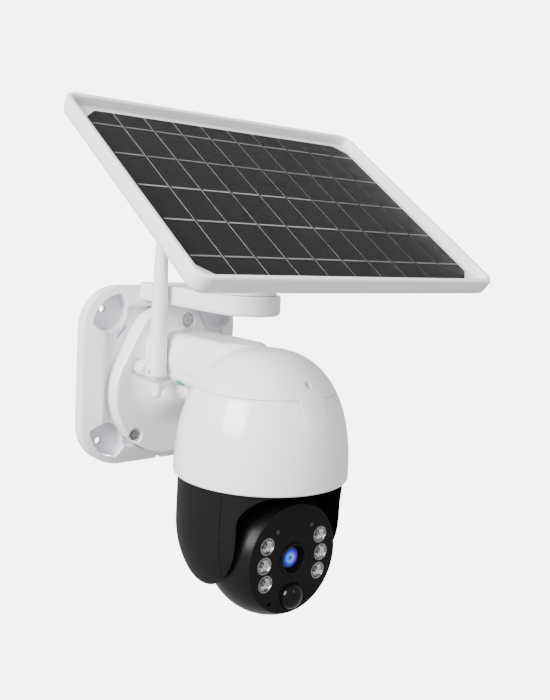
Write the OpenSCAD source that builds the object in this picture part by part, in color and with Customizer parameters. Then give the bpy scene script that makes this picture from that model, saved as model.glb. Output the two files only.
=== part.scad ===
// Solar-powered pan and tilt security camera on a wall bracket.
// Millimetres. X is left to right, the wall is the plane Y = 0, the camera
// reaches out along -Y, and Z is up. The origin is the middle of the wall face.

/* [Wall plate] */
// Width and height of the square wall plate
plate_w = 130; // [120:1:150]
// How far the plate stands off the wall
plate_t = 15; // [12:0.5:20]
// Radius of the plate's corners
plate_corner_r = 30; // [20:1:34]
// Width of the sloping border around the plate
plate_slope_w = 12; // [6:0.5:14]
// Depth of the sunk middle of the plate
plate_sunk = 4; // [2:0.5:5]
// Wall thickness of the plate moulding
plate_wall = 3; // [2:0.2:4]
// Distance between the wall screws, both ways
screw_pitch = 96; // [88:1:98]
// Diameter of the wall screw holes
screw_hole_d = 5.2; // [4:0.1:6.5]
// Radius of the pocket round each wall screw
pocket_r = 15; // [12:0.5:17]

/* [Arm] */
// Radius of the arm flange's wide lower part
flange_low_r = 46.5; // [44:0.5:48]
// Radius of the arm flange's narrow upper part
flange_top_r = 31; // [28:0.5:33]
// Thickness of the arm flange
flange_t = 13; // [11:0.5:15]
// Width of the arm
arm_w = 44; // [38:1:46]
// Height of the arm
arm_h = 36; // [30:1:38]
// Radius of the arm's long edges
arm_edge_r = 9; // [4:0.5:12]
// Wall thickness of the arm and of the dome
shell_wall = 2.2; // [1.8:0.1:3]

/* [Dome] */
// Distance from the wall to the pan axis
pan_out = 131.2; // [126:0.5:145]
// Outer radius of the dome at its rim
dome_r = 56.5; // [55:0.5:60]
// Height of the dome's crown above the origin
crown_z = 36; // [34:0.5:40]
// How far the dome's rim hangs below the origin
rim_drop = 45; // [44:0.5:50]
// Height of the seam between arm and dome skirt
seam_z = 11; // [10.5:0.5:13]

/* [Pan drive] */
// Tooth module of the pan gears
gear_m = 1; // [1:0.1:1.1]
// Teeth on the pan gear
pan_teeth = 36; // [36:2:40]
// Teeth on the motor pinion
pinion_teeth = 16; // [14:2:16]
// Width of the gear faces
gear_face = 5; // [3:0.5:5.5]
// Diameter of the pan spindle
spindle_d = 20; // [16:0.5:22]
// Diameter of the pan motor
pan_motor_d = 24; // [20:0.5:25]

/* [Yoke and head] */
// Outer radius of the turning yoke
yoke_r = 53.4; // [52.8:0.1:53.6]
// Wall thickness of the yoke
yoke_wall = 2.4; // [1.8:0.1:3]
// Radius of the ball-shaped camera head
ball_r = 41.5; // [40.5:0.1:42]
// How far the head's centre lies in front of the pan axis
ball_ahead = 14.3; // [10:0.5:15]
// Drop of the head's centre below the dome rim
ball_drop = 47; // [46.5:0.5:50]
// Radius of the head's flat face
face_r = 35; // [33:0.5:36]
// Wall thickness of the head shells
head_wall = 2; // [1.5:0.1:2.5]
// Diameter of the tilt shaft
tilt_shaft_d = 6; // [4:0.5:8]

/* [Face] */
// Diameter of the camera lens ring
lens_ring_d = 21; // [18:0.5:24]
// Diameter of one light's lens
lamp_d = 11; // [9:0.5:11.5]
// Sideways distance from the camera lens to the lights
lamp_side = 23.3; // [22.5:0.1:24.5]
// Upright distance between the lights
lamp_pitch = 12; // [11.8:0.1:13]
// Diameter of the motion sensor's lens
pir_d = 17; // [12:0.5:17]
// Drop of the motion sensor below the camera lens
pir_drop = 24.2; // [23:0.1:24.5]

/* [Antenna] */
// Distance from the side of the arm to the axis of the antenna
antenna_clear = 8; // [7.5:0.5:11]
// Distance from the wall to the antenna rod
antenna_out = 50; // [48:0.5:54]
// Height of the antenna's elbow
antenna_z = 9; // [4:0.5:12]
// Length of the rod above its elbow
antenna_len = 109; // [80:1:112]
// Diameter of the rod at its foot
antenna_foot_d = 13; // [10:0.5:13]
// Diameter of the rod at its tip
antenna_tip_d = 7.4; // [6:0.2:9]

/* [Panel arm] */
// Height of the panel arm's underside
slab_z = 55; // [52:0.5:57]
// Thickness of the panel arm
slab_t = 13; // [10:0.5:14]
// Width of the panel arm and of its round end
slab_w = 46; // [40:1:46]
// Distance from the wall to the swivel axis
swivel_out = 106; // [100:1:110]
// Height of the panel's tilt hinge
hinge_z = 116; // [112:0.5:120]
// Diameter of the swivel spigot
spigot_d = 14; // [10:0.5:18]
// Diameter of the tilt hinge bolt
hinge_bolt_d = 6; // [5:0.5:8]

/* [Solar panel] */
// Length of the panel, left to right
panel_l = 232; // [226:1:250]
// Width of the panel, uphill
panel_w = 176; // [172:1:190]
// Depth of the panel's tray
panel_t = 12; // [10:0.5:14]
// Tilt of the panel from level
panel_tilt = 33.8; // [28:0.1:38]
// Distance from the wall to the middle of the glass
panel_out = 142; // [140:0.5:146]
// Height of the middle of the glass
panel_z = 132.5; // [131:0.5:136]
// Radius of the panel's corners
panel_corner_r = 9; // [4:0.5:12]
// Width of the tray's rim beside the glass
panel_lip = 4; // [2.5:0.5:5]
// Width of one cell strip, with its gap
cell_pitch = 21.28; // [20:0.02:21.4]
// Number of cell strips
cell_count = 10; // [8:1:10]
// Length of one cell strip
cell_len = 156.75; // [150:0.25:158]
// Number of silver ribbons on each strip
ribbon_count = 5; // [3:1:5]

/* [Hidden] */
$fn = 64;
fine = 96;
slim = 32;

// Fits and gaps that several pieces share
run_fit = 0.05;
slip_gap = 0.2;
eps = 0.01;

// Arm and dome
rim_z = -rim_drop;
dome_power = 2.4;
dome_steps = 14;
flange_low_z = -11;
flange_top_z = 22;
flange_back = plate_t - plate_sunk;
flange_front = flange_back + flange_t;
flange_screw_low = [29, -42];
flange_screw_top = [13, 41];
flange_screw_d = 4;
flange_bosses = [
    [-flange_screw_low[0], flange_screw_low[1]],
    [flange_screw_low[0], flange_screw_low[1]],
    [-flange_screw_top[0], flange_screw_top[1]],
    [flange_screw_top[0], flange_screw_top[1]]];
boss_od = 9;
screw_head_ratio = 1.9;
flange_pocket_d = 11;
flange_pocket_floor = 4;
flange_gap = 0.8;
cove_r = 34;
cove_z = -2;
cove_root_r = 40;
skirt_screw_r = dome_r - 13;
skirt_screw_d = 3;
skirt_screw_angles = [-90, 30, 150];
lug_w = 9;
tab_r = 10;
tab_z = 1;
tab_t = 1.1;
cap_roof_z = crown_z - 8.5;
cap_wall_out = dome_r - 8;
button_out = 66;
button_d = 7;
sticker_out = 63;
sticker_len = 9;
sticker_w = 5;
sticker_t = 0.3;

// Pan drive
bulkhead_t = 3;
bulkhead_top = rim_z + 17;
bulkhead_low = bulkhead_top - bulkhead_t;
bulkhead_r = dome_radius(bulkhead_top) - shell_wall - slip_gap;
deck_top = rim_z + 4.5;
deck_t = 3;
gear_low = deck_top + 0.6;
pan_motor_h = 17;
gear_space = gear_m * (pan_teeth + pinion_teeth) / 2;
pinion_angle = 90;
bearing_h = 6;
bearing_od = spindle_d + 6;
spindle_bore = 11;
ring_h = 2;
spindle_top = bulkhead_top + bearing_h + ring_h + slip_gap;

// Power store and boards
cell_d = 18.4;
cell_store_len = 65;
cell_store_z = 3;
cell_apart = 0.4;
speaker_angle = -15;
board_z = 15.6;
board_t = 1.6;

// Yoke and head
antenna_side = arm_w / 2 + antenna_clear;
ball_out = pan_out + ball_ahead;
ball_z = rim_z - ball_drop;
ball_gap = 1.5;
yoke_round_z = rim_z - 30;
yoke_round_h = 60;
yoke_low_z = ball_z - 27;
ear_in = ball_r + 0.8;
ear_wall = 2.2;
ear_half = 22.5;
cover_t = 1.15;
mouth_half = ball_r + ball_gap;
mouth_top = rim_z - 1;
mouth_corner_r = 19;
mouth_seam_z = ball_z + 15;
mouth_seam = 0.4;
hub_d = tilt_shaft_d + 1;
hub_end = ear_in + 1.9;
face_ahead = sqrt(ball_r * ball_r - face_r * face_r);
face_out = ball_out + face_ahead;
plate_face_t = 2;
seam_back = 8;
reset_hole_at = [-17.5, -26];
motor_body_d = 20;
motor_body_l = 16;
lamp_bow = 1.6;
lamp_rows = [for (s = [-1, 1], k = [-1, 0, 1]) [s * (lamp_side - lamp_bow * abs(k)), k * lamp_pitch]];
lens_glass_d = lens_ring_d - 6;
lamp_board_out = face_out - 9;

// Antenna
nut_h = 5;
jack_d = 9;
collar_d = 11;
elbow_gap = 10;
tongue_t = 5;
antenna_pin_d = 3;
foot_h = 8;
boss_top_gap = 0.9;
boss_d = 7.4;

// Panel arm
slab_top = slab_z + slab_t;
slab_screw_x = slab_w / 2 - 8;
slab_screw_z = slab_z + 3.6;
tongue_w = slab_w - 4;
tongue_h = 8;
swivel_seat = slab_z + 4.5;
swivel_disc_t = 7;
swivel_disc_r = 20;
barrel_r = 8;
barrel_half = 9;
yoke_ear_t = 5;
bolt_head_h = 4;

// Panel, measured from the middle of the glass along its own axes
panel_proud = 3;
glass_t = 2.4;
cell_t = 0.4;
tray_low = panel_proud - panel_t;
tray_floor = 2;
well_l = panel_l - 2 * panel_lip;
well_w = panel_w - 2 * panel_lip;
cell_gap = 0.7;
cell_cut = 9;
ribbon_w = 1;
bracket_back = panel_out - swivel_out;

// Radius of the dome's outside at height z
function dome_radius(z) =
    let (u = max(0, (z - rim_z) / (crown_z - rim_z)))
    dome_r * pow(max(0, 1 - pow(u, dome_power)), 1 / dome_power);

// Points of the dome's outline between two heights, moved inwards by inset
function dome_outline(low, high, inset) =
    [for (k = [0 : dome_steps])
        let (z = low + (high - low) * sin(90 * k / dome_steps))
        [max(0, dome_radius(z) - inset), z]];

// Outline of one involute tooth flank: half the tooth's angle at radius r
function involute(r, base) =
    let (a = acos(min(1, base / r)))
    tan(a) * 180 / PI - a;
function tooth_half(r, teeth) =
    let (pitch_r = gear_m * teeth / 2, base = pitch_r * cos(20))
    90 / teeth - 0.12 * 180 / PI / pitch_r
    + involute(pitch_r, base) - involute(max(r, base), base);
function gear_points(teeth) =
    let (pitch_r = gear_m * teeth / 2, low = pitch_r - 1.25 * gear_m, high = pitch_r + 0.9 * gear_m)
    [for (k = [0 : teeth - 1], s = [-1, 1], j = [0 : 3])
        let (q = s < 0 ? j : 3 - j, r = low + (high - low) * q / 3)
        let (a = 360 * k / teeth + s * tooth_half(r, teeth))
        [r * cos(a), r * sin(a)]];

// Extrudes a shape drawn in X and Z outwards from the wall
module outwards(start, length) {
    translate([0, -start, 0])
        rotate([90, 0, 0])
            linear_extrude(length)
                children();
}

// Stands its children on the pan axis
module on_pan_axis() {
    translate([0, -pan_out, 0])
        children();
}

// Lays a cylinder's axis along X through a point
module along_x(start, length, d, at) {
    translate([start, at[0], at[1]])
        rotate([0, 90, 0])
            cylinder(h = length, d = d);
}

// Places its children in the panel's own axes, glass facing local +Z
module in_panel() {
    translate([0, -panel_out, panel_z])
        rotate([panel_tilt, 0, 0])
            children();
}

module rounded_rect(w, h, r) {
    translate([-w / 2 + r, -h / 2])
        square([w - 2 * r, h]);
    translate([-w / 2, -h / 2 + r])
        square([w, h - 2 * r]);
    for (sx = [-1, 1], sy = [-1, 1])
        translate([sx * (w / 2 - r), sy * (h / 2 - r)])
            circle(r = r);
}

module at_corners(dx, dz) {
    for (sx = [-1, 1], sz = [-1, 1])
        translate([sx * dx / 2, sz * dz / 2])
            children();
}

// Pan-head screw with its head at Z = 0 and its shank down to -length
module pan_screw(d, length) {
    difference() {
        union() {
            translate([0, 0, -length])
                cylinder(h = length + eps, d = d);
            cylinder(h = d * 0.45, d = d * screw_head_ratio);
        }
        for (a = [0, 90])
            rotate(a)
                translate([-d * 0.6, -d * 0.12, d * 0.2])
                    cube([d * 1.2, d * 0.24, d]);
    }
}

module screw_outwards(x, z, y, d, length) {
    translate([x, -y, z])
        rotate([90, 0, 0])
            pan_screw(d, length);
}

// ---- Wall plate ----

module plate_blank() {
    hull() {
        outwards(0, plate_t - 5)
            rounded_rect(plate_w, plate_w, plate_corner_r, $fn = slim);
        outwards(0, plate_t)
            rounded_rect(plate_w - 2 * plate_slope_w, plate_w - 2 * plate_slope_w,
                plate_corner_r - plate_slope_w / 2, $fn = slim);
    }
}

module pocket_outline(grow) {
    intersection() {
        at_corners(screw_pitch, screw_pitch)
            circle(r = pocket_r + grow);
        rounded_rect(plate_w - 10, plate_w - 10, plate_corner_r - 5);
    }
}

module wall_plate() {
    color("whitesmoke")
    difference() {
        union() {
            difference() {
                plate_blank();
                outwards(plate_t - plate_sunk, plate_sunk + 1)
                    rounded_rect(plate_w - 2 * plate_slope_w - 4, plate_w - 2 * plate_slope_w - 4,
                        plate_corner_r - plate_slope_w / 2 - 2);
                outwards(-1, plate_t - plate_sunk - plate_wall + 1)
                    rounded_rect(plate_w - 2 * plate_wall, plate_w - 2 * plate_wall,
                        plate_corner_r - plate_wall);
            }
            outwards(0, plate_t - plate_sunk + 1.2)
                intersection() {
                    pocket_outline(1.8);
                    rounded_rect(plate_w - 6, plate_w - 6, plate_corner_r - 3);
                }
            for (p = flange_bosses)
                translate([p[0], 0, p[1]])
                    rotate([90, 0, 0])
                        cylinder(h = plate_t - plate_sunk, d = boss_od);
            for (s = [-1, 1])
                translate([s * slab_screw_x, 0, slab_screw_z])
                    rotate([90, 0, 0])
                        cylinder(h = plate_t - plate_sunk, d = boss_od);
        }
        outwards(plate_wall + 1, plate_t)
            pocket_outline(0);
        at_wall_screws()
            cylinder(h = plate_t * 3, d = screw_hole_d, center = true);
        for (p = flange_bosses)
            translate([p[0], -2, p[1]])
                rotate([90, 0, 0])
                    cylinder(h = plate_t, d = flange_screw_d + 2 * slip_gap);
        for (s = [-1, 1])
            translate([s * slab_screw_x, 0, slab_screw_z])
                rotate([90, 0, 0]) {
                    translate([0, 0, -1])
                        cylinder(h = plate_t + 2, d = flange_screw_d + 2 * slip_gap);
                    translate([0, 0, -1])
                        cylinder(h = 4, d = flange_screw_d * screw_head_ratio + 2 * slip_gap);
                }
        for (s = [-1, 1])
            translate([s * 36, -plate_t, 32])
                rotate([0, -s * 40, 0])
                    cube([1.6, 20, 11], center = true);
        translate([0, -plate_t / 2 - 4, -plate_w / 2])
            cube([5, plate_t, 6], center = true);
        outwards(flange_back, plate_t)
            flange_outline(-flange_gap);
        translate([-tongue_w / 2 - slip_gap, -plate_t - 1, slab_z - slip_gap])
            cube([tongue_w + 2 * slip_gap, plate_sunk + 1, tongue_h + 2 * slip_gap]);
        gasket_groove();
    }
}

module at_wall_screws() {
    for (sx = [-1, 1], sz = [-1, 1])
        translate([sx * screw_pitch / 2, 0, sz * screw_pitch / 2])
            rotate([90, 0, 0])
                children();
}

module gasket_ring(grow) {
    difference() {
        rounded_rect(plate_w - 1.4 + grow, plate_w - 1.4 + grow, plate_corner_r - 0.7);
        rounded_rect(plate_w - 4.4 - grow, plate_w - 4.4 - grow, plate_corner_r - 2.2);
    }
}

module gasket_groove() {
    outwards(-1, 2.2)
        gasket_ring(0.1);
}

module plate_gasket() {
    color("dimgray")
        outwards(0, 1.2)
            gasket_ring(0);
}

// ---- Arm with flange and dome cap ----

// Points of the egg outline: a low and a top arc, joined by straight flanks
function egg_points(shrink) =
    let (low_r = flange_low_r - shrink, top_r = flange_top_r - shrink,
        lean = asin((low_r - top_r) / (flange_top_z - flange_low_z)), steps = 24)
    concat(
        [for (k = [0 : steps])
            let (a = lean + (180 - 2 * lean) * k / steps)
            [top_r * cos(a), flange_top_z + top_r * sin(a)]],
        [for (k = [0 : steps])
            let (a = 180 - lean + (180 + 2 * lean) * k / steps)
            [low_r * cos(a), flange_low_z + low_r * sin(a)]]);

module flange_outline(shrink) {
    polygon(egg_points(shrink));
}

module cove_flare(inset) {
    steps = 8;
    translate([0, -flange_front + eps, cove_z])
        rotate([90, 0, 0])
            rotate_extrude($fn = fine)
                polygon(concat([[0, 0]],
                    [for (k = [0 : steps])
                        let (a = 90 * k / steps)
                        [cove_root_r - inset - (cove_root_r - 12) * sin(a),
                            cove_r * (1 - cos(a))]],
                    [[0, cove_r]]));
}

module arm_beam(inset) {
    outwards(flange_front - 2, pan_out - flange_front + 2)
        translate([0, arm_h / 2])
            rounded_rect(arm_w - 2 * inset, arm_h - 2 * inset, arm_edge_r - inset / 2);
}

module dome_cap_solid() {
    on_pan_axis()
        rotate_extrude($fn = fine)
            polygon(concat([[0, seam_z]], dome_outline(seam_z, crown_z, 0)));
}

// Round-ended tab of the cap that laps over the front of the skirt
module front_tab(grow, depth, over) {
    intersection() {
        on_pan_axis()
            difference() {
                rotate_extrude($fn = fine)
                    polygon(concat([[0, rim_z]], dome_outline(rim_z, seam_z + 2 * over, -over),
                        [[0, seam_z + 2 * over]]));
                rotate_extrude($fn = fine)
                    polygon(concat([[0, rim_z - 1]], dome_outline(rim_z, seam_z + 3, depth),
                        [[0, seam_z + 3]]));
            }
        outwards(pan_out, dome_r + 3)
            union() {
                translate([0, tab_z])
                    circle(r = tab_r + grow);
                translate([-tab_r - grow, tab_z])
                    square([2 * (tab_r + grow), seam_z - tab_z + 4 * over]);
            }
    }
}

module button_bore(d, extra) {
    translate([0, -button_out, -extra])
        cylinder(h = shell_wall + 2 * extra, d = d);
}

module arm_housing() {
    color("white")
    difference() {
        union() {
            outwards(flange_back, flange_t)
                flange_outline(0);
            cove_flare(0);
            arm_beam(0);
            dome_cap_solid();
            antenna_boss();
        }
        difference() {
            union() {
                cove_flare(2 * shell_wall);
                arm_beam(shell_wall);
                outwards(flange_back - 1, flange_t - shell_wall + 1)
                    flange_outline(14);
            }
            translate([-arm_w, -3 * pan_out, -crown_z])
                cube([2 * arm_w, 2 * pan_out + cap_wall_out, 3 * crown_z]);
        }
        on_pan_axis() {
            translate([0, 0, seam_z - eps])
                cylinder(h = cap_roof_z - seam_z, r1 = dome_radius(seam_z) - shell_wall,
                    r2 = dome_radius(cap_roof_z) - 1.5 * shell_wall, $fn = fine);
            translate([0, 0, -2])
                cylinder(h = 2 + seam_z, r1 = dome_radius(-2) + 1, r2 = dome_radius(seam_z) + 1.5,
                    $fn = fine);
        }
        button_bore(button_d + 2 * run_fit + 0.3, 1);
        for (p = flange_bosses)
            translate([p[0], -flange_back + 1, p[1]])
                rotate([90, 0, 0]) {
                    cylinder(h = flange_t + 2, d = flange_screw_d + 2 * slip_gap);
                    translate([0, 0, 1 + flange_t - flange_pocket_floor])
                        cylinder(h = 30, d = flange_pocket_d);
                }
        along_jack(flange_back - 1, flange_t + 2, jack_d - 2 + 2 * slip_gap);
        along_jack(flange_front, 18, 14.4);
        for (a = skirt_screw_angles)
            skirt_screw_place(a)
                translate([0, 0, -1])
                    cylinder(h = 30, d = skirt_screw_d * screw_head_ratio + 2 * slip_gap);
    }
    color("white")
        front_tab(0, tab_t, 0);
}

// Round-ended boss under the antenna's foot, tied to the arm by a web
module antenna_boss() {
    top = antenna_z - antenna_foot_d / 2 - boss_top_gap;
    translate([-antenna_side, -antenna_out, top - 9])
        cylinder(h = 9, d = boss_d);
    translate([-antenna_side, -antenna_out, top - 11])
        cylinder(h = 2, d1 = boss_d - 4, d2 = boss_d);
    translate([0, -antenna_out + 2.5, 0])
        rotate([90, 0, 0])
            linear_extrude(5)
                polygon([[-antenna_side, top - 9], [-antenna_side, top - 1], [-arm_w / 2 + 3, top + 2],
                    [-arm_w / 2 + 9, arm_h / 3], [-arm_w / 2 + 9, 1], [-arm_w / 2, top - 2]]);
}

module flange_screws() {
    color("silver")
        for (p = flange_bosses)
            screw_outwards(p[0], p[1], flange_front - flange_pocket_floor, flange_screw_d, 17);
}

// Small film label bent round the arm's lower left edge
module check_sticker() {
    color("seagreen")
        intersection() {
            difference() {
                arm_beam(-sticker_t - run_fit);
                arm_beam(-run_fit);
            }
            translate([-arm_w / 2 + arm_edge_r, -sticker_out, arm_edge_r])
                rotate([0, -135, 0])
                    linear_extrude(2 * arm_edge_r) {
                        square([sticker_w, sticker_len - sticker_w], center = true);
                        for (s = [-1, 1])
                            translate([0, s * (sticker_len - sticker_w) / 2])
                                circle(d = sticker_w);
                    }
        }
}

module power_button() {
    color("gray")
        translate([0, -button_out, -1.2])
            union() {
                cylinder(h = shell_wall + 2.4, d = button_d);
                translate([0, 0, shell_wall + 1.4])
                    cylinder(h = 1.2, d = button_d + 3);
            }
}

module button_spring() {
    color("silver")
        translate([0, -button_out, shell_wall + 2.7])
            difference() {
                cylinder(h = 6, d = 5);
                translate([0, 0, -1])
                    cylinder(h = 8, d = 3.6);
            }
}

// ---- Dome skirt and pan drive ----

module dome_skirt() {
    color("white")
    difference() {
        union() {
            difference() {
                on_pan_axis()
                    rotate_extrude($fn = fine)
                        polygon(concat([[0, rim_z]], dome_outline(rim_z, seam_z - slip_gap, 0),
                            [[0, seam_z - slip_gap]]));
                on_pan_axis()
                    rotate_extrude($fn = fine)
                        polygon(concat([[0, rim_z - 1]],
                            [[dome_r - shell_wall, rim_z - 1]],
                            dome_outline(rim_z, seam_z, shell_wall),
                            [[dome_radius(seam_z) - shell_wall, seam_z + 1], [0, seam_z + 1]]));
            }
            intersection() {
                for (a = skirt_screw_angles)
                    on_pan_axis()
                        rotate(a)
                            translate([skirt_screw_r - 7, -lug_w / 2, bulkhead_top + slip_gap])
                                cube([20, lug_w, seam_z - 8 - bulkhead_top]);
                on_pan_axis()
                    rotate_extrude($fn = fine)
                        polygon(concat([[0, rim_z]], dome_outline(rim_z, seam_z - 1, 1), [[0, seam_z - 1]]));
            }
        }
        front_tab(slip_gap, tab_t + slip_gap, 1);
        for (a = skirt_screw_angles)
            skirt_screw_place(a)
                union() {
                    translate([0, 0, -40])
                        cylinder(h = 80, d = skirt_screw_d + 2 * slip_gap);
                    translate([7.5, 0, -40])
                        cylinder(h = 30, d = skirt_screw_d + 2 * slip_gap);
                }
    }
}

// Seat of one skirt screw: inside the seam, its axis upright
module skirt_screw_place(a) {
    on_pan_axis()
        rotate(a)
            translate([skirt_screw_r - 4.5, 0, seam_z - 6])
                children();
}

module skirt_screws() {
    color("silver")
        for (a = skirt_screw_angles)
            skirt_screw_place(a)
                pan_screw(skirt_screw_d, 12);
}

module pan_bulkhead() {
    color("gainsboro")
    on_pan_axis()
        difference() {
            translate([0, 0, bulkhead_low])
                cylinder(h = bulkhead_t, r = bulkhead_r, $fn = fine);
            translate([0, 0, bulkhead_low - 1])
                cylinder(h = bulkhead_t + 2, d = spindle_d + 2, $fn = fine);
            rotate(pinion_angle)
                translate([gear_space, 0, bulkhead_low - 1])
                    cylinder(h = bulkhead_t + 2, d = 8);
            for (a = skirt_screw_angles)
                rotate(a)
                    translate([skirt_screw_r + 3, 0, bulkhead_low - 1])
                        cylinder(h = bulkhead_t + 2, d = skirt_screw_d + 2 * slip_gap);
        }
}

module bulkhead_screws() {
    color("silver")
    on_pan_axis()
        for (a = skirt_screw_angles)
            rotate(a)
                translate([skirt_screw_r + 3, 0, bulkhead_low])
                    mirror([0, 0, 1])
                        pan_screw(skirt_screw_d, bulkhead_t + 7);
}

module pan_bearing() {
    color("steelblue")
    on_pan_axis()
        translate([0, 0, bulkhead_top])
            difference() {
                cylinder(h = bearing_h, d = bearing_od, $fn = fine);
                translate([0, 0, -1])
                    cylinder(h = bearing_h + 2, d = spindle_d + 2 * run_fit, $fn = fine);
            }
}

module pan_motor() {
    color("lightgray")
    on_pan_axis()
        rotate(pinion_angle)
            translate([gear_space, 0, 0])
                union() {
                    translate([0, 0, bulkhead_top])
                        cylinder(h = pan_motor_h, d = pan_motor_d);
                    translate([0, 0, bulkhead_low - 0.5])
                        cylinder(h = bulkhead_t + 1, d = 7.4);
                    translate([0, 0, gear_low])
                        cylinder(h = bulkhead_low - gear_low, d = 3);
                }
}

module pan_pinion() {
    color("ivory")
    on_pan_axis()
        rotate(pinion_angle)
            translate([gear_space, 0, gear_low])
                difference() {
                    rotate(180 + 180 / pinion_teeth)
                        linear_extrude(gear_face)
                            polygon(gear_points(pinion_teeth));
                    translate([0, 0, -1])
                        cylinder(h = gear_face + 2, d = 3 + 2 * run_fit);
                }
}

module pan_gear() {
    color("ivory")
    on_pan_axis()
        difference() {
            translate([0, 0, gear_low])
                rotate(pinion_angle)
                    linear_extrude(gear_face)
                        polygon(gear_points(pan_teeth));
            translate([0, 0, gear_low - 1])
                cylinder(h = gear_face + 2, d = spindle_d + 2 * eps);
        }
}

module spindle_ring() {
    color("silver")
    on_pan_axis()
        translate([0, 0, bulkhead_top + bearing_h + slip_gap])
            difference() {
                cylinder(h = ring_h, d = spindle_d + 6, $fn = fine);
                translate([0, 0, -1])
                    cylinder(h = ring_h + 2, d = spindle_d + 2 * eps, $fn = fine);
            }
}

module main_board() {
    color("darkgreen")
    on_pan_axis()
        union() {
            translate([0, 0, board_z])
                cylinder(h = board_t, r = 30);
            for (b = [[-16, -14, 12, 12, 2], [4, -18, 14, 16, 2.6], [-8, 6, 18, 12, 3], [14, 6, 7, 7, 4]])
                translate([b[0], b[1], board_z + board_t - eps])
                    cube([b[2], b[3], b[4]]);
        }
}

module battery_cells() {
    color("royalblue")
    on_pan_axis()
        for (s = [-1, 1])
            translate([s * (cell_d / 2 + cell_apart), cell_store_len / 2, cell_store_z])
                rotate([90, 0, 0]) {
                    cylinder(h = cell_store_len - 1, d = cell_d);
                    cylinder(h = cell_store_len, d = 6);
                }
}

module battery_tray() {
    color("black")
    on_pan_axis()
        difference() {
            translate([-cell_d - 1.5, -cell_store_len / 2 + 4, cell_store_z - cell_d / 2 - 1.6])
                cube([2 * cell_d + 3, cell_store_len - 8, cell_d / 2]);
            for (s = [-1, 1])
                translate([s * (cell_d / 2 + cell_apart), cell_store_len, cell_store_z])
                    rotate([90, 0, 0])
                        cylinder(h = cell_store_len * 2, d = cell_d + 2 * eps);
        }
}

module speaker() {
    color("dimgray")
    on_pan_axis()
        rotate(speaker_angle)
            translate([36, 0, bulkhead_top]) {
                cylinder(h = 5, d = 22);
                cylinder(h = 8, d = 12);
            }
}

// ---- Yoke ----

function yoke_outline(inset, low) =
    let (steps = 10, top_angle = asin(min(1, (yoke_round_z - low) / (yoke_round_h - inset))))
    [for (k = [0 : steps])
        let (a = top_angle * (1 - k / steps))
        [(yoke_r - inset) * cos(a), yoke_round_z - (yoke_round_h - inset) * sin(a)]];

module yoke_solid(inset, low, top) {
    on_pan_axis()
        rotate_extrude($fn = fine)
            polygon(concat([[0, low]], yoke_outline(inset, low),
                [[yoke_r - inset, top], [0, top]]));
}

module ear_cover_zone(grow) {
    on_pan_axis()
        rotate([0, 90, 0])
            translate([0, 0, -100])
                linear_extrude(200)
                    union() {
                        translate([-deck_top + deck_t + 4, -ear_half - grow])
                            square([deck_top - deck_t - 4 - ball_z, 2 * (ear_half + grow)]);
                        translate([-ball_z, 0])
                            circle(r = ear_half + grow);
                    }
}

module mouth_outline() {
    difference() {
        translate([-mouth_half, ball_z - 2 * yoke_r])
            square([2 * mouth_half, mouth_top - ball_z + 2 * yoke_r]);
        for (s = [-1, 1])
            translate([s * (mouth_half - mouth_corner_r), mouth_top - mouth_corner_r])
                difference() {
                    translate([s > 0 ? 0 : -2 * mouth_corner_r, 0])
                        square([2 * mouth_corner_r, 2 * mouth_corner_r]);
                    circle(r = mouth_corner_r, $fn = fine);
                }
    }
}

module mouth_seams() {
    for (s = [-1, 1])
        intersection() {
            difference() {
                yoke_solid(-1, yoke_low_z - 5, deck_top + 5);
                yoke_solid(mouth_seam, yoke_low_z - 6, deck_top + 6);
            }
            translate([s > 0 ? mouth_half - 1 : -mouth_half - 19, -pan_out - yoke_r, mouth_seam_z])
                cube([20, yoke_r - ear_half, mouth_seam]);
        }
}

module yoke() {
    color("black")
    difference() {
        union() {
            difference() {
                yoke_solid(0, yoke_low_z, deck_top);
                yoke_solid(yoke_wall, yoke_low_z - 1, deck_top - deck_t);
            }
            intersection() {
                yoke_solid(0.75 * yoke_wall, yoke_low_z - 0.5, deck_top - 1);
                translate([0, -pan_out, 0])
                    for (s = [-1, 1])
                        translate([s * (ear_in + ear_wall / 2), 0, ball_z])
                            cube([ear_wall, 4 * yoke_r, 4 * yoke_r], center = true);
            }
            on_pan_axis()
                translate([0, 0, deck_top - deck_t])
                    cylinder(h = spindle_top - deck_top + deck_t, d = spindle_d, $fn = fine);
        }
        on_pan_axis()
            translate([0, 0, deck_top - deck_t - 1])
                cylinder(h = spindle_top - deck_top + deck_t + 2, d = spindle_bore, $fn = fine);
        outwards(ball_out, yoke_r)
            mouth_outline();
        translate([-mouth_half, -pan_out - 2 * yoke_r, ball_z - 5 - 2 * yoke_r])
            cube([2 * mouth_half, 4 * yoke_r, 2 * yoke_r]);
        mouth_seams();
        intersection() {
            difference() {
                yoke_solid(-5, yoke_low_z - 5, deck_top + 5);
                yoke_solid(cover_t + run_fit, yoke_low_z - 6, deck_top + 6);
            }
            ear_cover_zone(0.3);
        }
        along_x(-60, 120, hub_d + 2 * slip_gap, [-ball_out, ball_z]);
    }
}

module ear_covers() {
    color("black")
    difference() {
        intersection() {
            difference() {
                yoke_solid(0, yoke_low_z, deck_top);
                yoke_solid(cover_t, yoke_low_z - 6, deck_top + 1);
            }
            ear_cover_zone(0);
            for (s = [-1, 1])
                translate([s * (mouth_half + 24), -pan_out, ball_z])
                    cube([48, 3 * yoke_r, 3 * yoke_r], center = true);
        }
        along_x(-hub_end - slip_gap, 2 * (hub_end + slip_gap), hub_d + 2 * slip_gap, [-ball_out, ball_z]);
    }
}

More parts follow.
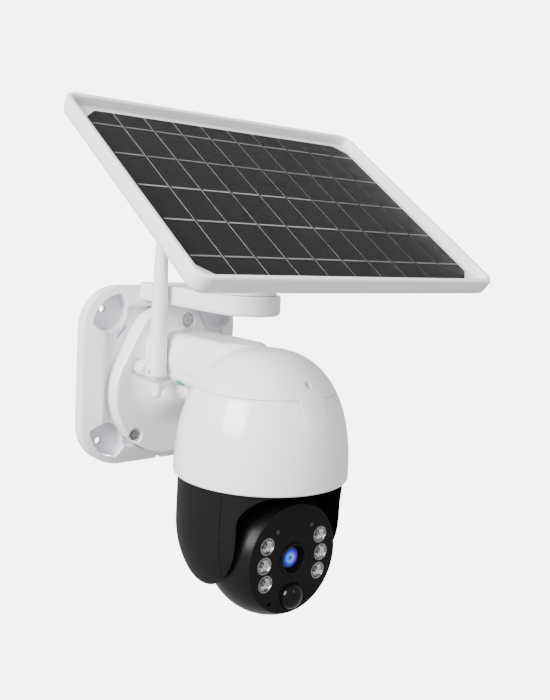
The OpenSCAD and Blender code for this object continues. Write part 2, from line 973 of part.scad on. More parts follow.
module tilt_drive_hub() {
    color("silver")
    difference() {
        union() {
            along_x(ear_in + 0.1, hub_end - ear_in - 0.1, hub_d, [-ball_out, ball_z]);
            along_x(ear_in - 14, 15, tilt_shaft_d, [-ball_out, ball_z]);
        }
        along_x(ear_in - 20, 60, 2, [-ball_out, ball_z]);
    }
}

module tilt_pivot_pin() {
    color("silver")
    difference() {
        union() {
            along_x(-hub_end, hub_end - ear_in - 0.1, hub_d, [-ball_out, ball_z]);
            along_x(-ear_in - 1, 9, tilt_shaft_d, [-ball_out, ball_z]);
        }
        along_x(-ear_in - 40, 60, 3, [-ball_out, ball_z]);
    }
}

// ---- Camera head ----

module at_ball() {
    translate([0, -ball_out, ball_z])
        children();
}

module ball_shell(near, far) {
    at_ball()
        intersection() {
            rotate(90)
                difference() {
                    sphere(r = ball_r, $fn = fine);
                    sphere(r = ball_r - head_wall, $fn = fine);
                }
            translate([-ball_r - 1, -far, -ball_r - 1])
                cube([2 * ball_r + 2, far - near, 2 * ball_r + 2]);
        }
}

module head_front_shell() {
    color("black")
    difference() {
        union() {
            ball_shell(-seam_back + 0.1, face_ahead);
            at_ball()
                rotate([90, 0, 0])
                    translate([0, 0, face_ahead - plate_face_t - 2.2])
                        difference() {
                            cylinder(h = 2, r = face_r + 1.2, $fn = fine);
                            translate([0, 0, -1])
                                cylinder(h = 4, r = face_r - 3.5, $fn = fine);
                        }
        }
        outwards(face_out - plate_face_t, plate_face_t + 1)
            translate([0, ball_z])
                circle(r = face_r - 0.2, $fn = fine);
        along_x(-60, 120, tilt_shaft_d + 2 * slip_gap, [-ball_out, ball_z]);
    }
}

module head_rear_shell() {
    color("black")
    ball_shell(-ball_r - 1, -seam_back);
}

module tilt_motor() {
    color("lightgray")
    difference() {
        union() {
            along_x(ear_in - 15 - motor_body_l + 2, motor_body_l - 2, motor_body_d, [-ball_out, ball_z]);
            along_x(ear_in - 15, 8, tilt_shaft_d + 5, [-ball_out, ball_z]);
        }
        along_x(ear_in - 14.5, 20, tilt_shaft_d + 2 * run_fit, [-ball_out, ball_z]);
    }
}

module tilt_bush() {
    color("tan")
    difference() {
        along_x(-ball_r + head_wall + 0.6, 5, tilt_shaft_d + 5, [-ball_out, ball_z]);
        along_x(-60, 60, tilt_shaft_d + 2 * run_fit, [-ball_out, ball_z]);
    }
}

module face_outline_holes() {
    circle(d = lens_ring_d + 2 * slip_gap);
    for (p = lamp_rows)
        translate(p)
            circle(d = lamp_d + 2 * slip_gap);
    translate([0, -pir_drop])
        circle(d = pir_d + 2 * slip_gap);
    for (s = [-1, 1])
        translate([s * 14, 20])
            circle(d = 3 + 2 * slip_gap);
    for (k = [0 : 2])
        translate([17 + 2 * k, -24 + 1.6 * k])
            circle(d = 1);
    translate(reset_hole_at)
        circle(d = 3.2);
}

module face_plate() {
    color("black")
    outwards(face_out - plate_face_t, plate_face_t)
        translate([0, ball_z])
            difference() {
                circle(r = face_r - 0.35, $fn = fine);
                face_outline_holes();
            }
}

module lens_barrel() {
    color("dimgray")
    difference() {
        outwards(face_out - 17, 18.2)
            translate([0, ball_z])
                circle(d = lens_ring_d);
        outwards(face_out - 2.6, 5)
            translate([0, ball_z])
                circle(d = lens_ring_d - 3.4);
        outwards(face_out - 12, 20)
            translate([0, ball_z])
                circle(d = lens_glass_d - 3);
    }
}

module lens_glass() {
    color("mediumpurple")
    intersection() {
        translate([0, -face_out + 2.6, ball_z])
            rotate([90, 0, 0])
                cylinder(h = 6, d = lens_glass_d);
        translate([0, -face_out + 2.6 + 10.5, ball_z])
            sphere(r = 13.4, $fn = fine);
    }
}

module image_board() {
    color("darkgreen")
    outwards(face_out - 18.8, 1.6)
        translate([0, ball_z])
            rounded_rect(26, 32, 2);
}

module lamp_board() {
    color("darkgreen")
    outwards(lamp_board_out, 1.4)
        translate([0, ball_z])
            difference() {
                circle(r = 30);
                circle(d = lens_ring_d + 2);
                translate([0, -pir_drop])
                    circle(d = 10);
            }
}

module lamp_emitters() {
    color("khaki")
    for (p = lamp_rows)
        outwards(lamp_board_out + 1.4, 1.2)
            translate([p[0], ball_z + p[1]])
                square([3.4, 3.4], center = true);
}

module lamp_lenses() {
    color("white")
    for (p = lamp_rows)
        translate([p[0], -face_out, ball_z + p[1]])
            rotate([90, 0, 0])
                rotate_extrude()
                    polygon([[0, -3.4], [lamp_d / 2 - 1.6, -4.6], [lamp_d / 2, -0.6], [lamp_d / 2, 0.2],
                        [lamp_d / 2 - 1, 0.9], [lamp_d / 4, 1.3], [0, 1.4]]);
}

module motion_sensor() {
    color("silver")
    outwards(lamp_board_out - 2, 5)
        translate([0, ball_z - pir_drop])
            circle(d = 8.4);
}

module motion_lens() {
    color("gray")
    difference() {
        intersection() {
            translate([0, -face_out + 3, ball_z - pir_drop])
                sphere(d = pir_d + 1, $fn = fine);
            outwards(face_out - 2, 14)
                translate([0, ball_z - pir_drop])
                    circle(d = pir_d);
        }
        translate([0, -face_out + 3, ball_z - pir_drop])
            sphere(d = pir_d - 1.4, $fn = fine);
    }
}

module light_sensors() {
    color("gray")
    for (s = [-1, 1])
        outwards(face_out - 2, 2.3)
            translate([s * 14, ball_z + 20])
                circle(d = 3);
}

module microphone() {
    color("silver")
    outwards(face_out - plate_face_t - 2.4, 2)
        translate([17, ball_z - 20])
            circle(d = 5);
}

// ---- Antenna ----

module along_jack(start, length, d) {
    translate([-antenna_side, -start, antenna_z])
        rotate([90, 0, 0])
            cylinder(h = length, d = d);
}

module antenna_jack() {
    color("goldenrod")
        along_jack(flange_back + 1, antenna_out - elbow_gap - flange_back - 1 - 6, jack_d - 2);
}

module antenna_nut() {
    color("silver")
    difference() {
        translate([-antenna_side, -flange_front, antenna_z])
            rotate([90, 0, 0])
                cylinder(h = nut_h, d = 11.5, $fn = 6);
        along_jack(flange_front - 1, nut_h + 2, jack_d - 2 + 2 * eps);
    }
}

module antenna_elbow() {
    start = flange_front + nut_h + 0.6;
    tongue_start = antenna_out - elbow_gap;
    color("gainsboro")
    difference() {
        union() {
            along_jack(start, tongue_start - start, collar_d);
            translate([-antenna_side - tongue_t / 2, -antenna_out, antenna_z - 4.4])
                cube([tongue_t, elbow_gap + 0.5, 8.8]);
            along_x(-antenna_side - tongue_t / 2, tongue_t, 8.8, [-antenna_out, antenna_z]);
        }
        along_jack(start - 1, antenna_out - elbow_gap - 6 - start + 1.6, jack_d - 2 + 2 * run_fit);
        along_x(-antenna_side - 10, 20, antenna_pin_d, [-antenna_out, antenna_z]);
    }
}

module antenna_pin() {
    color("silver")
        along_x(-antenna_side - antenna_foot_d / 2 + 0.6, antenna_foot_d - 1.2, antenna_pin_d,
            [-antenna_out, antenna_z]);
}

module antenna_rod() {
    foot = antenna_foot_d / 2;
    color("white")
    difference() {
        translate([-antenna_side, -antenna_out, antenna_z])
            union() {
                translate([0, 0, -foot + 1.3])
                    cylinder(h = 3, r1 = foot - 2.6, r2 = foot);
                translate([0, 0, -foot + 4.3])
                    cylinder(h = foot - 4.3 + foot_h, r = foot);
                translate([0, 0, foot_h])
                    cylinder(h = antenna_len - foot_h - antenna_tip_d / 2, r1 = foot, r2 = antenna_tip_d / 2);
                translate([0, 0, antenna_len - antenna_tip_d / 2])
                    sphere(d = antenna_tip_d);
            }
        translate([-antenna_side - tongue_t / 2 - slip_gap, -antenna_out - 5, antenna_z - 10])
            cube([tongue_t + 2 * slip_gap, 20, 15.4]);
        along_x(-antenna_side - 10, 20, antenna_pin_d + 2 * run_fit, [-antenna_out, antenna_z]);
    }
}

// ---- Panel arm and swivel ----

module panel_arm() {
    color("white")
    difference() {
        union() {
            translate([-slab_w / 2, -swivel_out, slab_z])
                cube([slab_w, swivel_out - plate_t, slab_t]);
            translate([0, -swivel_out, slab_z])
                cylinder(h = slab_t, r = slab_w / 2, $fn = fine);
            translate([-tongue_w / 2, -plate_t - eps, slab_z])
                cube([tongue_w, plate_sunk, tongue_h]);
        }
        translate([0, -swivel_out, slab_z - 1])
            cylinder(h = slab_t + 2, d = spigot_d + 2 * run_fit);
        translate([0, -swivel_out, slab_z - 1])
            cylinder(h = swivel_seat - slab_z + 1.3, d = spigot_d + 10);
        translate([-slab_w / 2 + 5, -swivel_out + 20, slab_z - 1])
            cube([slab_w - 10, swivel_out - plate_t - 40, slab_t - 2]);
        for (s = [-1, 1])
            translate([s * slab_screw_x, 0, slab_screw_z])
                rotate([90, 0, 0])
                    cylinder(h = plate_t + 14, d = flange_screw_d);
    }
}

module panel_arm_screws() {
    color("silver")
        for (s = [-1, 1])
            translate([s * slab_screw_x, -2.4, slab_screw_z])
                rotate([-90, 0, 0])
                    pan_screw(flange_screw_d, plate_t + 9);
}

module swivel_yoke() {
    disc_low = slab_top + 0.3;
    color("white")
    difference() {
        translate([0, -swivel_out, 0])
            union() {
                translate([0, 0, disc_low])
                    cylinder(h = swivel_disc_t, r = swivel_disc_r, $fn = fine);
                translate([0, 0, swivel_seat])
                    cylinder(h = disc_low - swivel_seat + eps, d = spigot_d);
                translate([0, 0, disc_low + swivel_disc_t - eps])
                    cylinder(h = hinge_z - barrel_r - 4 - disc_low - swivel_disc_t, r1 = 15, r2 = 13);
                for (s = [-1, 1])
                    translate([s * (barrel_half + slip_gap + yoke_ear_t / 2), 0, 0])
                        union() {
                            translate([-yoke_ear_t / 2, -barrel_r, hinge_z - barrel_r - 8])
                                cube([yoke_ear_t, 2 * barrel_r, barrel_r + 8]);
                            translate([-yoke_ear_t / 2, 0, hinge_z])
                                rotate([0, 90, 0])
                                    cylinder(h = yoke_ear_t, r = barrel_r);
                        }
                translate([-barrel_half - yoke_ear_t, -barrel_r, hinge_z - barrel_r - 8])
                    cube([2 * (barrel_half + yoke_ear_t), 2 * barrel_r, 6]);
            }
        along_x(-40, 80, hinge_bolt_d, [-swivel_out, hinge_z]);
        translate([0, -swivel_out, slab_z])
            cylinder(h = 24, d = 5);
    }
}

module swivel_bolt() {
    color("silver")
        translate([0, -swivel_out, swivel_seat])
            mirror([0, 0, 1])
                union() {
                    cylinder(h = 3.4, d = spigot_d + 8);
                    translate([0, 0, -16])
                        cylinder(h = 16, d = 5);
                }
}

module hinge_bolt() {
    half = barrel_half + slip_gap + yoke_ear_t;
    color("silver")
    union() {
        along_x(-half, 2 * half + 6, hinge_bolt_d, [-swivel_out, hinge_z]);
        along_x(-half - bolt_head_h, bolt_head_h, 11, [-swivel_out, hinge_z]);
    }
}

module hinge_nut() {
    half = barrel_half + slip_gap + yoke_ear_t;
    color("black")
    difference() {
        translate([half, -swivel_out, hinge_z])
            rotate([0, 90, 0])
                cylinder(h = 6, d = 16, $fn = 8);
        along_x(half - 1, 10, hinge_bolt_d, [-swivel_out, hinge_z]);
    }
}

// Panel bracket: a plate under the tray with a barrel on the hinge bolt
module panel_bracket() {
    color("white")
    difference() {
        union() {
            in_panel()
                translate([-30, bracket_back - 34, tray_low - 4])
                    cube([60, 58, 4 - slip_gap]);
            along_x(-barrel_half, 2 * barrel_half, 2 * barrel_r, [-swivel_out, hinge_z]);
            intersection() {
                translate([-barrel_half + 2, -swivel_out - barrel_r + 1, hinge_z])
                    cube([2 * barrel_half - 4, 2 * barrel_r - 2, 40]);
                in_panel()
                    translate([-30, -80, tray_low - 61])
                        cube([60, 160, 58.5]);
            }
        }
        along_x(-40, 80, hinge_bolt_d + 2 * run_fit, [-swivel_out, hinge_z]);
        in_panel()
            for (sx = [-1, 1], sy = [-1, 1])
                translate([sx * 24, bracket_back - 5 + sy * 22, tray_low - 10])
                    cylinder(h = 12, d = 3 + 2 * slip_gap);
    }
}

module bracket_screws() {
    color("silver")
    in_panel()
        for (sx = [-1, 1], sy = [-1, 1])
            translate([sx * 24, bracket_back - 5 + sy * 22, tray_low - 4])
                mirror([0, 0, 1])
                    pan_screw(3, 5);
}

// ---- Solar panel ----

module panel_tray() {
    color("white")
    in_panel()
        difference() {
            hull() {
                translate([0, 0, panel_proud - 4])
                    linear_extrude(4)
                        rounded_rect(panel_l - 1, panel_w - 1, panel_corner_r, $fn = slim);
                translate([0, 0, panel_proud - 3.4])
                    linear_extrude(2)
                        rounded_rect(panel_l, panel_w, panel_corner_r, $fn = slim);
                translate([0, 0, tray_low])
                    linear_extrude(2)
                        rounded_rect(panel_l - 8, panel_w - 8, panel_corner_r, $fn = slim);
            }
            translate([0, 0, -glass_t - cell_t - 1.2])
                linear_extrude(20)
                    rounded_rect(well_l, well_w, panel_corner_r - panel_lip + 1);
            translate([0, 0, tray_low + tray_floor])
                linear_extrude(20)
                    rounded_rect(well_l - 12, well_w - 12, 4);
            for (sx = [-1, 1], sy = [-1, 1])
                translate([sx * 24, bracket_back - 5 + sy * 22, tray_low - 1])
                    cylinder(h = 6, d = 3);
            translate([0, bracket_back + 32, tray_low - 1])
                cylinder(h = 6, d = 6);
        }
}

module panel_back_sheet() {
    color("white")
    in_panel()
        translate([0, 0, -glass_t - cell_t - 1.2])
            linear_extrude(1.2)
                rounded_rect(well_l - 0.6, well_w - 0.6, panel_corner_r - panel_lip);
}

// Outline of the whole wafer field, with its cut corners
module wafer_field() {
    half_l = cell_pitch * cell_count / 2;
    half_w = cell_len / 2;
    polygon([
        [-half_l + cell_cut, -half_w], [half_l - cell_cut, -half_w],
        [half_l, -half_w + cell_cut], [half_l, half_w - cell_cut],
        [half_l - cell_cut, half_w], [-half_l + cell_cut, half_w],
        [-half_l, half_w - cell_cut], [-half_l, -half_w + cell_cut]]);
}

module solar_cells() {
    color("black")
    in_panel()
        translate([0, 0, -glass_t - cell_t])
            linear_extrude(cell_t - 0.1)
                intersection() {
                    wafer_field();
                    for (k = [0 : cell_count - 1])
                        translate([(k - cell_count / 2) * cell_pitch + cell_gap / 2, -cell_len / 2])
                            square([cell_pitch - cell_gap, cell_len]);
                }
}

module cell_ribbons() {
    pitch = cell_len / ribbon_count;
    color("silver")
    in_panel()
        translate([0, 0, -glass_t - 0.1])
            linear_extrude(0.1)
                for (k = [0 : cell_count - 1], j = [0 : ribbon_count - 1])
                    translate([(k - cell_count / 2) * cell_pitch + 1.2,
                            (j + 0.5) * pitch - cell_len / 2 - ribbon_w / 2])
                        square([cell_pitch - 2.4, ribbon_w]);
}

module panel_glass() {
    color([0.7, 0.8, 0.9, 0.3])
    in_panel()
        translate([0, 0, -glass_t])
            linear_extrude(glass_t)
                rounded_rect(well_l - 0.6, well_w - 0.6, panel_corner_r - panel_lip);
}

module junction_box() {
    color("black")
    in_panel()
        translate([0, bracket_back + 32, tray_low - 9])
            linear_extrude(9 - eps)
                rounded_rect(44, 14, 3);
}

wall_plate();
plate_gasket();
arm_housing();
flange_screws();
dome_skirt();
skirt_screws();
power_button();
button_spring();
pan_bulkhead();
bulkhead_screws();
pan_bearing();
pan_motor();
pan_pinion();
pan_gear();
spindle_ring();
main_board();
battery_cells();
battery_tray();
speaker();
yoke();
ear_covers();
tilt_drive_hub();
tilt_pivot_pin();
head_front_shell();
head_rear_shell();
tilt_motor();
tilt_bush();
face_plate();
lens_barrel();
lens_glass();
image_board();
lamp_board();
lamp_emitters();
lamp_lenses();
motion_sensor();
motion_lens();
light_sensors();
microphone();
antenna_jack();
antenna_nut();
antenna_elbow();
antenna_pin();
antenna_rod();
panel_arm();
panel_arm_screws();
swivel_yoke();
swivel_bolt();
hinge_bolt();
hinge_nut();
panel_bracket();
bracket_screws();
panel_tray();
panel_back_sheet();
solar_cells();
cell_ribbons();
panel_glass();
junction_box();
check_sticker();
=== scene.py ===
"""Looks of a solar-powered pan and tilt security camera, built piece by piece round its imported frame.

Lengths are in metres. X runs left to right, the wall is the plane Y = 0, the camera reaches out along -Y, and
Z is up.
"""

import bmesh
import bpy
import numpy as np
from mathutils import Matrix, Vector


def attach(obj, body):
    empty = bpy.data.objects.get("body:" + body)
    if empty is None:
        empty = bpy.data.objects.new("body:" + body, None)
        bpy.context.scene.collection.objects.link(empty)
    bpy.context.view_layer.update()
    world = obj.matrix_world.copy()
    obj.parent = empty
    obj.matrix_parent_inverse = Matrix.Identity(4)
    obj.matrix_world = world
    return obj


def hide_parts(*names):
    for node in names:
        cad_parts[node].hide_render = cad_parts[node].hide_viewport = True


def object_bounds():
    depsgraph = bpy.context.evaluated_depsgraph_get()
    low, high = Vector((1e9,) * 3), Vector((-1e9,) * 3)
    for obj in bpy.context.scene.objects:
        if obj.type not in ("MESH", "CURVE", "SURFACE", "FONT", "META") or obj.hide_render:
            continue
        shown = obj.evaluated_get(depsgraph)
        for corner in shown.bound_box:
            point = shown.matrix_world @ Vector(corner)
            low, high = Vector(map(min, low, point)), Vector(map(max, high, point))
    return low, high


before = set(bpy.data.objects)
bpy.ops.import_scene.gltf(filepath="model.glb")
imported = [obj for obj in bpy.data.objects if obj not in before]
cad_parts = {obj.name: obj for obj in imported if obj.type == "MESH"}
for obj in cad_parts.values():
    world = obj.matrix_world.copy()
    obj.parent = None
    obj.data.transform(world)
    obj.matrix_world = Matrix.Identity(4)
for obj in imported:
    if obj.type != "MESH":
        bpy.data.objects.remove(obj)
cad_low, cad_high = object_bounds()
MM = 0.001

# ---- Studio ----
# A pale round studio floor whose edge sweeps up into a wall, lit on its own so that it throws no light
# back, one large soft window light on the left, weaker lights from the right and from above, and a pale sky.
# None of it is the product.


def skin(name, points, ring_rows=False, ring_cols=False, sharp=35):
    """Surface through a grid of points: each point joins the next in its row and column, and the last joins
    the first where ring_rows or ring_cols is set. Doubled points at poles are merged, faces are turned
    outwards, and edges steeper than sharp degrees stay crisp."""
    rows, cols = points.shape[:2]
    i = np.arange(rows if ring_rows else rows - 1)[:, None]
    j = np.arange(cols if ring_cols else cols - 1)[None, :]
    below, beside = (i + 1) % rows, (j + 1) % cols
    faces = np.stack([i * cols + j, i * cols + beside, below * cols + beside, below * cols + j], -1)
    return joined(name, points.reshape(-1, 3), faces.reshape(-1, 4), sharp)


def joined(name, corners, faces, sharp):
    """Mesh from corner points and four-sided faces, with doubled points merged and faces turned
    outwards."""
    mesh = bpy.data.meshes.new(name)
    mesh.from_pydata(corners.tolist(), [], faces.tolist())
    shell = bmesh.new()
    shell.from_mesh(mesh)
    bmesh.ops.remove_doubles(shell, verts=shell.verts, dist=2e-6)
    bmesh.ops.dissolve_degenerate(shell, edges=shell.edges, dist=1e-7)
    bmesh.ops.recalc_face_normals(shell, faces=shell.faces)
    shell.to_mesh(mesh)
    shell.free()
    mesh.shade_smooth()
    mesh.set_sharp_from_angle(angle=np.radians(sharp))
    thing = bpy.data.objects.new(name, mesh)
    bpy.context.scene.collection.objects.link(thing)
    return thing


def turned(name, profile, centre, axis="Z", steps=128, sharp=35):
    """Surface of revolution: each (radius, height) of the profile goes round the Z axis through centre, or
    round the Y axis with its height counted towards -Y. A point at angle a is (radius * cos a, radius * sin
    a, height)."""
    angle = np.linspace(0, 2 * np.pi, steps, endpoint=False)[None, :]
    radius, height = (np.asarray(profile, float).T)[:, :, None]
    across, up = radius * np.cos(angle), radius * np.sin(angle)
    along = height + 0 * angle
    order = {"Z": (across, up, along), "Y": (across, -along, up)}[axis]
    return skin(name, np.stack(order, -1) + np.asarray(centre, float), ring_cols=True, sharp=sharp)


def arc(middle, radius, start, end, steps=6):
    """Points of a circular arc in a profile: middle + radius * (cos a, sin a), for angles a in degrees from
    start to end in equal steps."""
    angle = np.radians(np.linspace(start, end, steps + 1))
    return [(middle[0] + radius * np.cos(a), middle[1] + radius * np.sin(a)) for a in angle]


def moulded(name, colour, shade, rough, grain=0.0006, depth=0.15, patch=0.03, **shader):
    """Moulded surface: the base colour is colour + n * (shade - colour), with n a slow noise of patch size.
    The roughness runs between its two values with a noise six times finer, and a noise of grain size raises
    the surface by depth of its strength. Further values go to the shader's sockets by name."""
    material = bpy.data.materials.new(name)
    material.use_nodes = True
    nodes, links = material.node_tree.nodes, material.node_tree.links
    plastic = nodes["Principled BSDF"]
    for socket, value in shader.items():
        plastic.inputs[socket.replace("_", " ")].default_value = value
    place = nodes.new("ShaderNodeTexCoord")
    noises = {}
    for use, size, detail in (("drift", patch, 3.0), ("wear", patch / 6, 6.0), ("grain", grain, 2.0)):
        noises[use] = nodes.new("ShaderNodeTexNoise")
        noises[use].inputs["Scale"].default_value = 1 / size
        noises[use].inputs["Detail"].default_value = detail
        links.new(place.outputs["Object"], noises[use].inputs["Vector"])
    tint = nodes.new("ShaderNodeMix")
    tint.data_type = "RGBA"
    tint.inputs[6].default_value = (*colour, 1)
    tint.inputs[7].default_value = (*shade, 1)
    links.new(noises["drift"].outputs["Fac"], tint.inputs[0])
    links.new(tint.outputs[2], plastic.inputs["Base Color"])
    span = nodes.new("ShaderNodeMapRange")
    span.inputs["From Min"].default_value = 0.3
    span.inputs["From Max"].default_value = 0.7
    span.inputs["To Min"].default_value = rough[0]
    span.inputs["To Max"].default_value = rough[1]
    links.new(noises["wear"].outputs["Fac"], span.inputs["Value"])
    links.new(span.outputs["Result"], plastic.inputs["Roughness"])
    bump = nodes.new("ShaderNodeBump")
    bump.inputs["Strength"].default_value = depth
    bump.inputs["Distance"].default_value = grain / 4
    links.new(noises["grain"].outputs["Fac"], bump.inputs["Height"])
    links.new(bump.outputs["Normal"], plastic.inputs["Normal"])
    return material


floor_z, flat_r, sweep_r, wall_top = cad_low.z - 0.30, 2.5, 1.2, 3.5
floor_profile = [(0.0, floor_z), (flat_r, floor_z)] + arc((flat_r, floor_z + sweep_r), sweep_r, -90, 0, 16)
floor_profile += [(flat_r + sweep_r, wall_top)]
floor = turned("studio_floor", floor_profile, (0, 0, 0), steps=64)
floor.data.materials.append(
    moulded("floor_paper", (0.95, 0.95, 0.95), (0.93, 0.93, 0.935), (0.8, 0.9), 0.004, 0.0, 0.5,
            Emission_Color=(1, 1, 1, 1), Emission_Strength=5.0))
floor.visible_diffuse = floor.visible_glossy = False

lens_at = Vector((-0.3518, -0.5496, 0.1100))
right, up, back = (Vector((0.764, -0.642, 0.0588)), Vector((0.043, 0.145, 0.9895)),
                   Vector((-0.644, -0.752, 0.132)))
camera = bpy.data.objects.new("studio_camera", bpy.data.cameras.new("studio_camera"))
camera.data.lens = 44.56
camera.data.clip_start = 0.01
camera.matrix_world = Matrix.Translation(lens_at) @ Matrix((right, up, back)).transposed().to_4x4()
bpy.context.scene.collection.objects.link(camera)
bpy.context.scene.camera = camera

for light_name, spot, aim, size, watts in (
    ("window_light", (-1.5, -0.35, 0.75), (0, -0.1, 0.0), 0.9, 82),
    ("fill_light", (0.6, -1.9, 0.9), (0, -0.1, 0.0), 0.8, 6),
    ("overhead_light", (-0.2, 0.2, 1.9), (0, -0.1, 0.1), 1.2, 12),
):
    lamp = bpy.data.objects.new(light_name, bpy.data.lights.new(light_name, "AREA"))
    lamp.data.size = size
    lamp.data.energy = watts
    lamp.location = spot
    lamp.rotation_euler = (Vector(aim) - Vector(spot)).to_track_quat("-Z", "Y").to_euler()
    bpy.context.scene.collection.objects.link(lamp)
sky = bpy.data.worlds.new("pale_sky")
sky.use_nodes = True
sky.node_tree.nodes["Background"].inputs["Color"].default_value = (1.0, 1.0, 1.0, 1)
sky.node_tree.nodes["Background"].inputs["Strength"].default_value = 0.85
bpy.context.scene.world = sky

# ---- Wall plate ----
# Square white ABS moulding with round corners, screwed to the wall through a D-shaped pocket in each corner.
# Its border slopes to a flat rim round the sunk middle. A black foam-rubber gasket seals it to the wall.


def eased(name, edge, *cad, angle=30):
    """Copy of frame nodes with corners merged, flat faces joined up and edges rounded by the radius edge,
    wherever two faces meet at more than angle degrees."""
    shell = bmesh.new()
    for node in cad:
        shell.from_mesh(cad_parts[node].data)
    bmesh.ops.remove_doubles(shell, verts=shell.verts, dist=2e-6)
    bmesh.ops.dissolve_limit(shell, angle_limit=np.radians(0.6), verts=shell.verts, edges=shell.edges)
    mesh = bpy.data.meshes.new(name)
    shell.to_mesh(mesh)
    shell.free()
    for spare in ("custom_normal", "sharp_edge", "sharp_face"):
        if spare in mesh.attributes:
            mesh.attributes.remove(mesh.attributes[spare])
    mesh.shade_smooth()
    thing = bpy.data.objects.new(name, mesh)
    bpy.context.scene.collection.objects.link(thing)
    rounding = thing.modifiers.new("rounded edges", "BEVEL")
    rounding.width = edge
    rounding.segments = 3
    rounding.limit_method = "ANGLE"
    rounding.angle_limit = np.radians(angle)
    level = thing.modifiers.new("even shading", "WEIGHTED_NORMAL")
    level.keep_sharp = True
    return thing


def fitted(thing, body, slot, finish, *stands_for):
    """Gives a finished piece its material and its body, and hides the frame nodes that it stands for. The
    slot is not used.
    """
    thing.data.materials.clear()
    thing.data.materials.append(finish)
    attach(thing, body)
    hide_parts(*stands_for)
    return thing


def dressed(finish, *cad):
    """Gives frame nodes that stay as they are their material."""
    for node in cad:
        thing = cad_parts[node]
        thing.data.materials.clear()
        thing.data.materials.append(finish)


# Painted shade and reflection: the plate's lilac-grey tint stands in for the shading on its sunk middle and
# is laid over the whole plate.
mount_white_painted_shade = moulded("mount_white_painted_shade", (0.80, 0.79, 0.83), (0.76, 0.75, 0.80), (0.38, 0.5), 0.0005, 0.10)
fitted(eased("wall_plate_moulding", 0.6 * MM, "wall_plate"), "wall_side", "white_mount", mount_white_painted_shade,
       "wall_plate")
seal_black = moulded("seal_black", (0.03, 0.03, 0.03), (0.05, 0.05, 0.05), (0.75, 0.9), 0.0008, 0.5)
dressed(seal_black, "plate_gasket")

# ---- Arm, flange and dome cap ----
# One glossy white ABS moulding: an egg-shaped flange, a wide hollow flare behind the arm, the box-shaped arm,
# and the upper part of the dome, whose crown the arm runs into. Four screws hold the flange to the plate.
shell_white = moulded("shell_white", (0.86, 0.86, 0.87), (0.83, 0.83, 0.845), (0.16, 0.22), 0.0009, 0.02,
                      0.05, Coat_Weight=0.3, Coat_Roughness=0.08)
pan_y = -131.2
seam_z, rim_z, crown_z, dome_r, dome_power = 11.0, -45.0, 36.0, 56.5, 2.4
flange_back, flange_front = -11.0, -24.0
egg_low, egg_top = (46.5, -11.0), (31.0, 22.0)
screw_places = [(-29, -42), (29, -42), (-13, 41), (13, 41)]


def dome_radius(z):
    """Radius of the dome at height z: dome_r * (1 - share ** p) ** (1 / p), where share runs from 0 at the
    rim to 1 at the crown and p, the dome power, makes its side view rounder than an ellipse."""
    share = np.clip((z - rim_z) / (crown_z - rim_z), 0, 1)
    return dome_r * np.maximum(1 - share**dome_power, 0) ** (1 / dome_power)


def dipped(points, places, radius, floor_y):
    """Presses round pockets with a flat floor into a surface that faces -Y: points closer to a pocket's rim
    than catch slide onto it, and points inside go back to the plane floor_y."""
    catch = 0.45
    for x, z in places:
        away = points[..., [0, 2]] - np.array([x, z])
        far = np.linalg.norm(away, axis=-1)
        rim = np.abs(far - radius) < catch
        slide = np.where(rim, radius / np.maximum(far, 1e-6), 1.0)
        points[..., 0] = x + away[..., 0] * slide
        points[..., 2] = z + away[..., 1] * slide
        inside = (far < radius - catch) & (points[..., 1] < floor_y)
        points[..., 1] = np.where(inside, floor_y, points[..., 1])
    return points


lean = np.arcsin((egg_low[0] - egg_top[0]) / (egg_top[1] - egg_low[1]))
turn = np.linspace(0, 2 * np.pi, 480, endpoint=False)
facing = np.where((turn > lean) & (turn < np.pi - lean), 1, 0)
egg = np.where(
    facing[:, None],
    np.stack([egg_top[0] * np.cos(turn), egg_top[1] + egg_top[0] * np.sin(turn)], -1),
    np.stack([egg_low[0] * np.cos(turn), egg_low[1] + egg_low[0] * np.sin(turn)], -1),
)
outward = np.stack([np.cos(turn), np.sin(turn)], -1)
edge_r, neck_bulge = 1.6, 6
rings = [(egg, flange_back)] + [
    (egg - outward * (edge_r - edge_r * np.cos(a)), flange_front + edge_r - edge_r * np.sin(a))
    for a in np.linspace(0, np.pi / 2, 6)
]
cove_centre, cove_root, cove_reach, cove_neck = np.array([0, -2.0]), 36.0, 34.0, 12.0
front_edge = egg - outward * edge_r
bearing = front_edge - cove_centre
bearing /= np.linalg.norm(bearing, axis=1)[:, None]
root = cove_centre + bearing * np.minimum(
    cove_root, np.linalg.norm(front_edge - cove_centre, axis=1) - 0.5)[:, None]
rings += [(front_edge * (1 - t) + root * t, flange_front) for t in np.linspace(0.06, 0.94, 16)]
for a in np.radians(np.linspace(0, 90, 40)):
    reach = np.linalg.norm(root - cove_centre, axis=1)[:, None]
    loop = cove_centre + bearing * (cove_neck + (reach - cove_neck) * (1 - np.sin(a)))
    rings.append((loop, flange_front - cove_reach * (1 - np.cos(a))))
rings += [(cove_centre + bearing * cove_neck * s, flange_front - cove_reach - neck_bulge * np.sqrt(1 - s * s))
          for s in (0.9, 0.6, 0.2, 0)]
flange_points = np.stack([np.stack([p[:, 0], np.full(len(p), y), p[:, 1]], -1) for p, y in rings])
screw_pocket_r, screw_pocket_deep = 5.9, 4
flange_points = dipped(flange_points, screw_places, screw_pocket_r, flange_front + screw_pocket_deep)
fitted(skin("arm_flange", flange_points * MM, ring_cols=True), "wall_side", "white_shell", shell_white,
       "arm_housing")

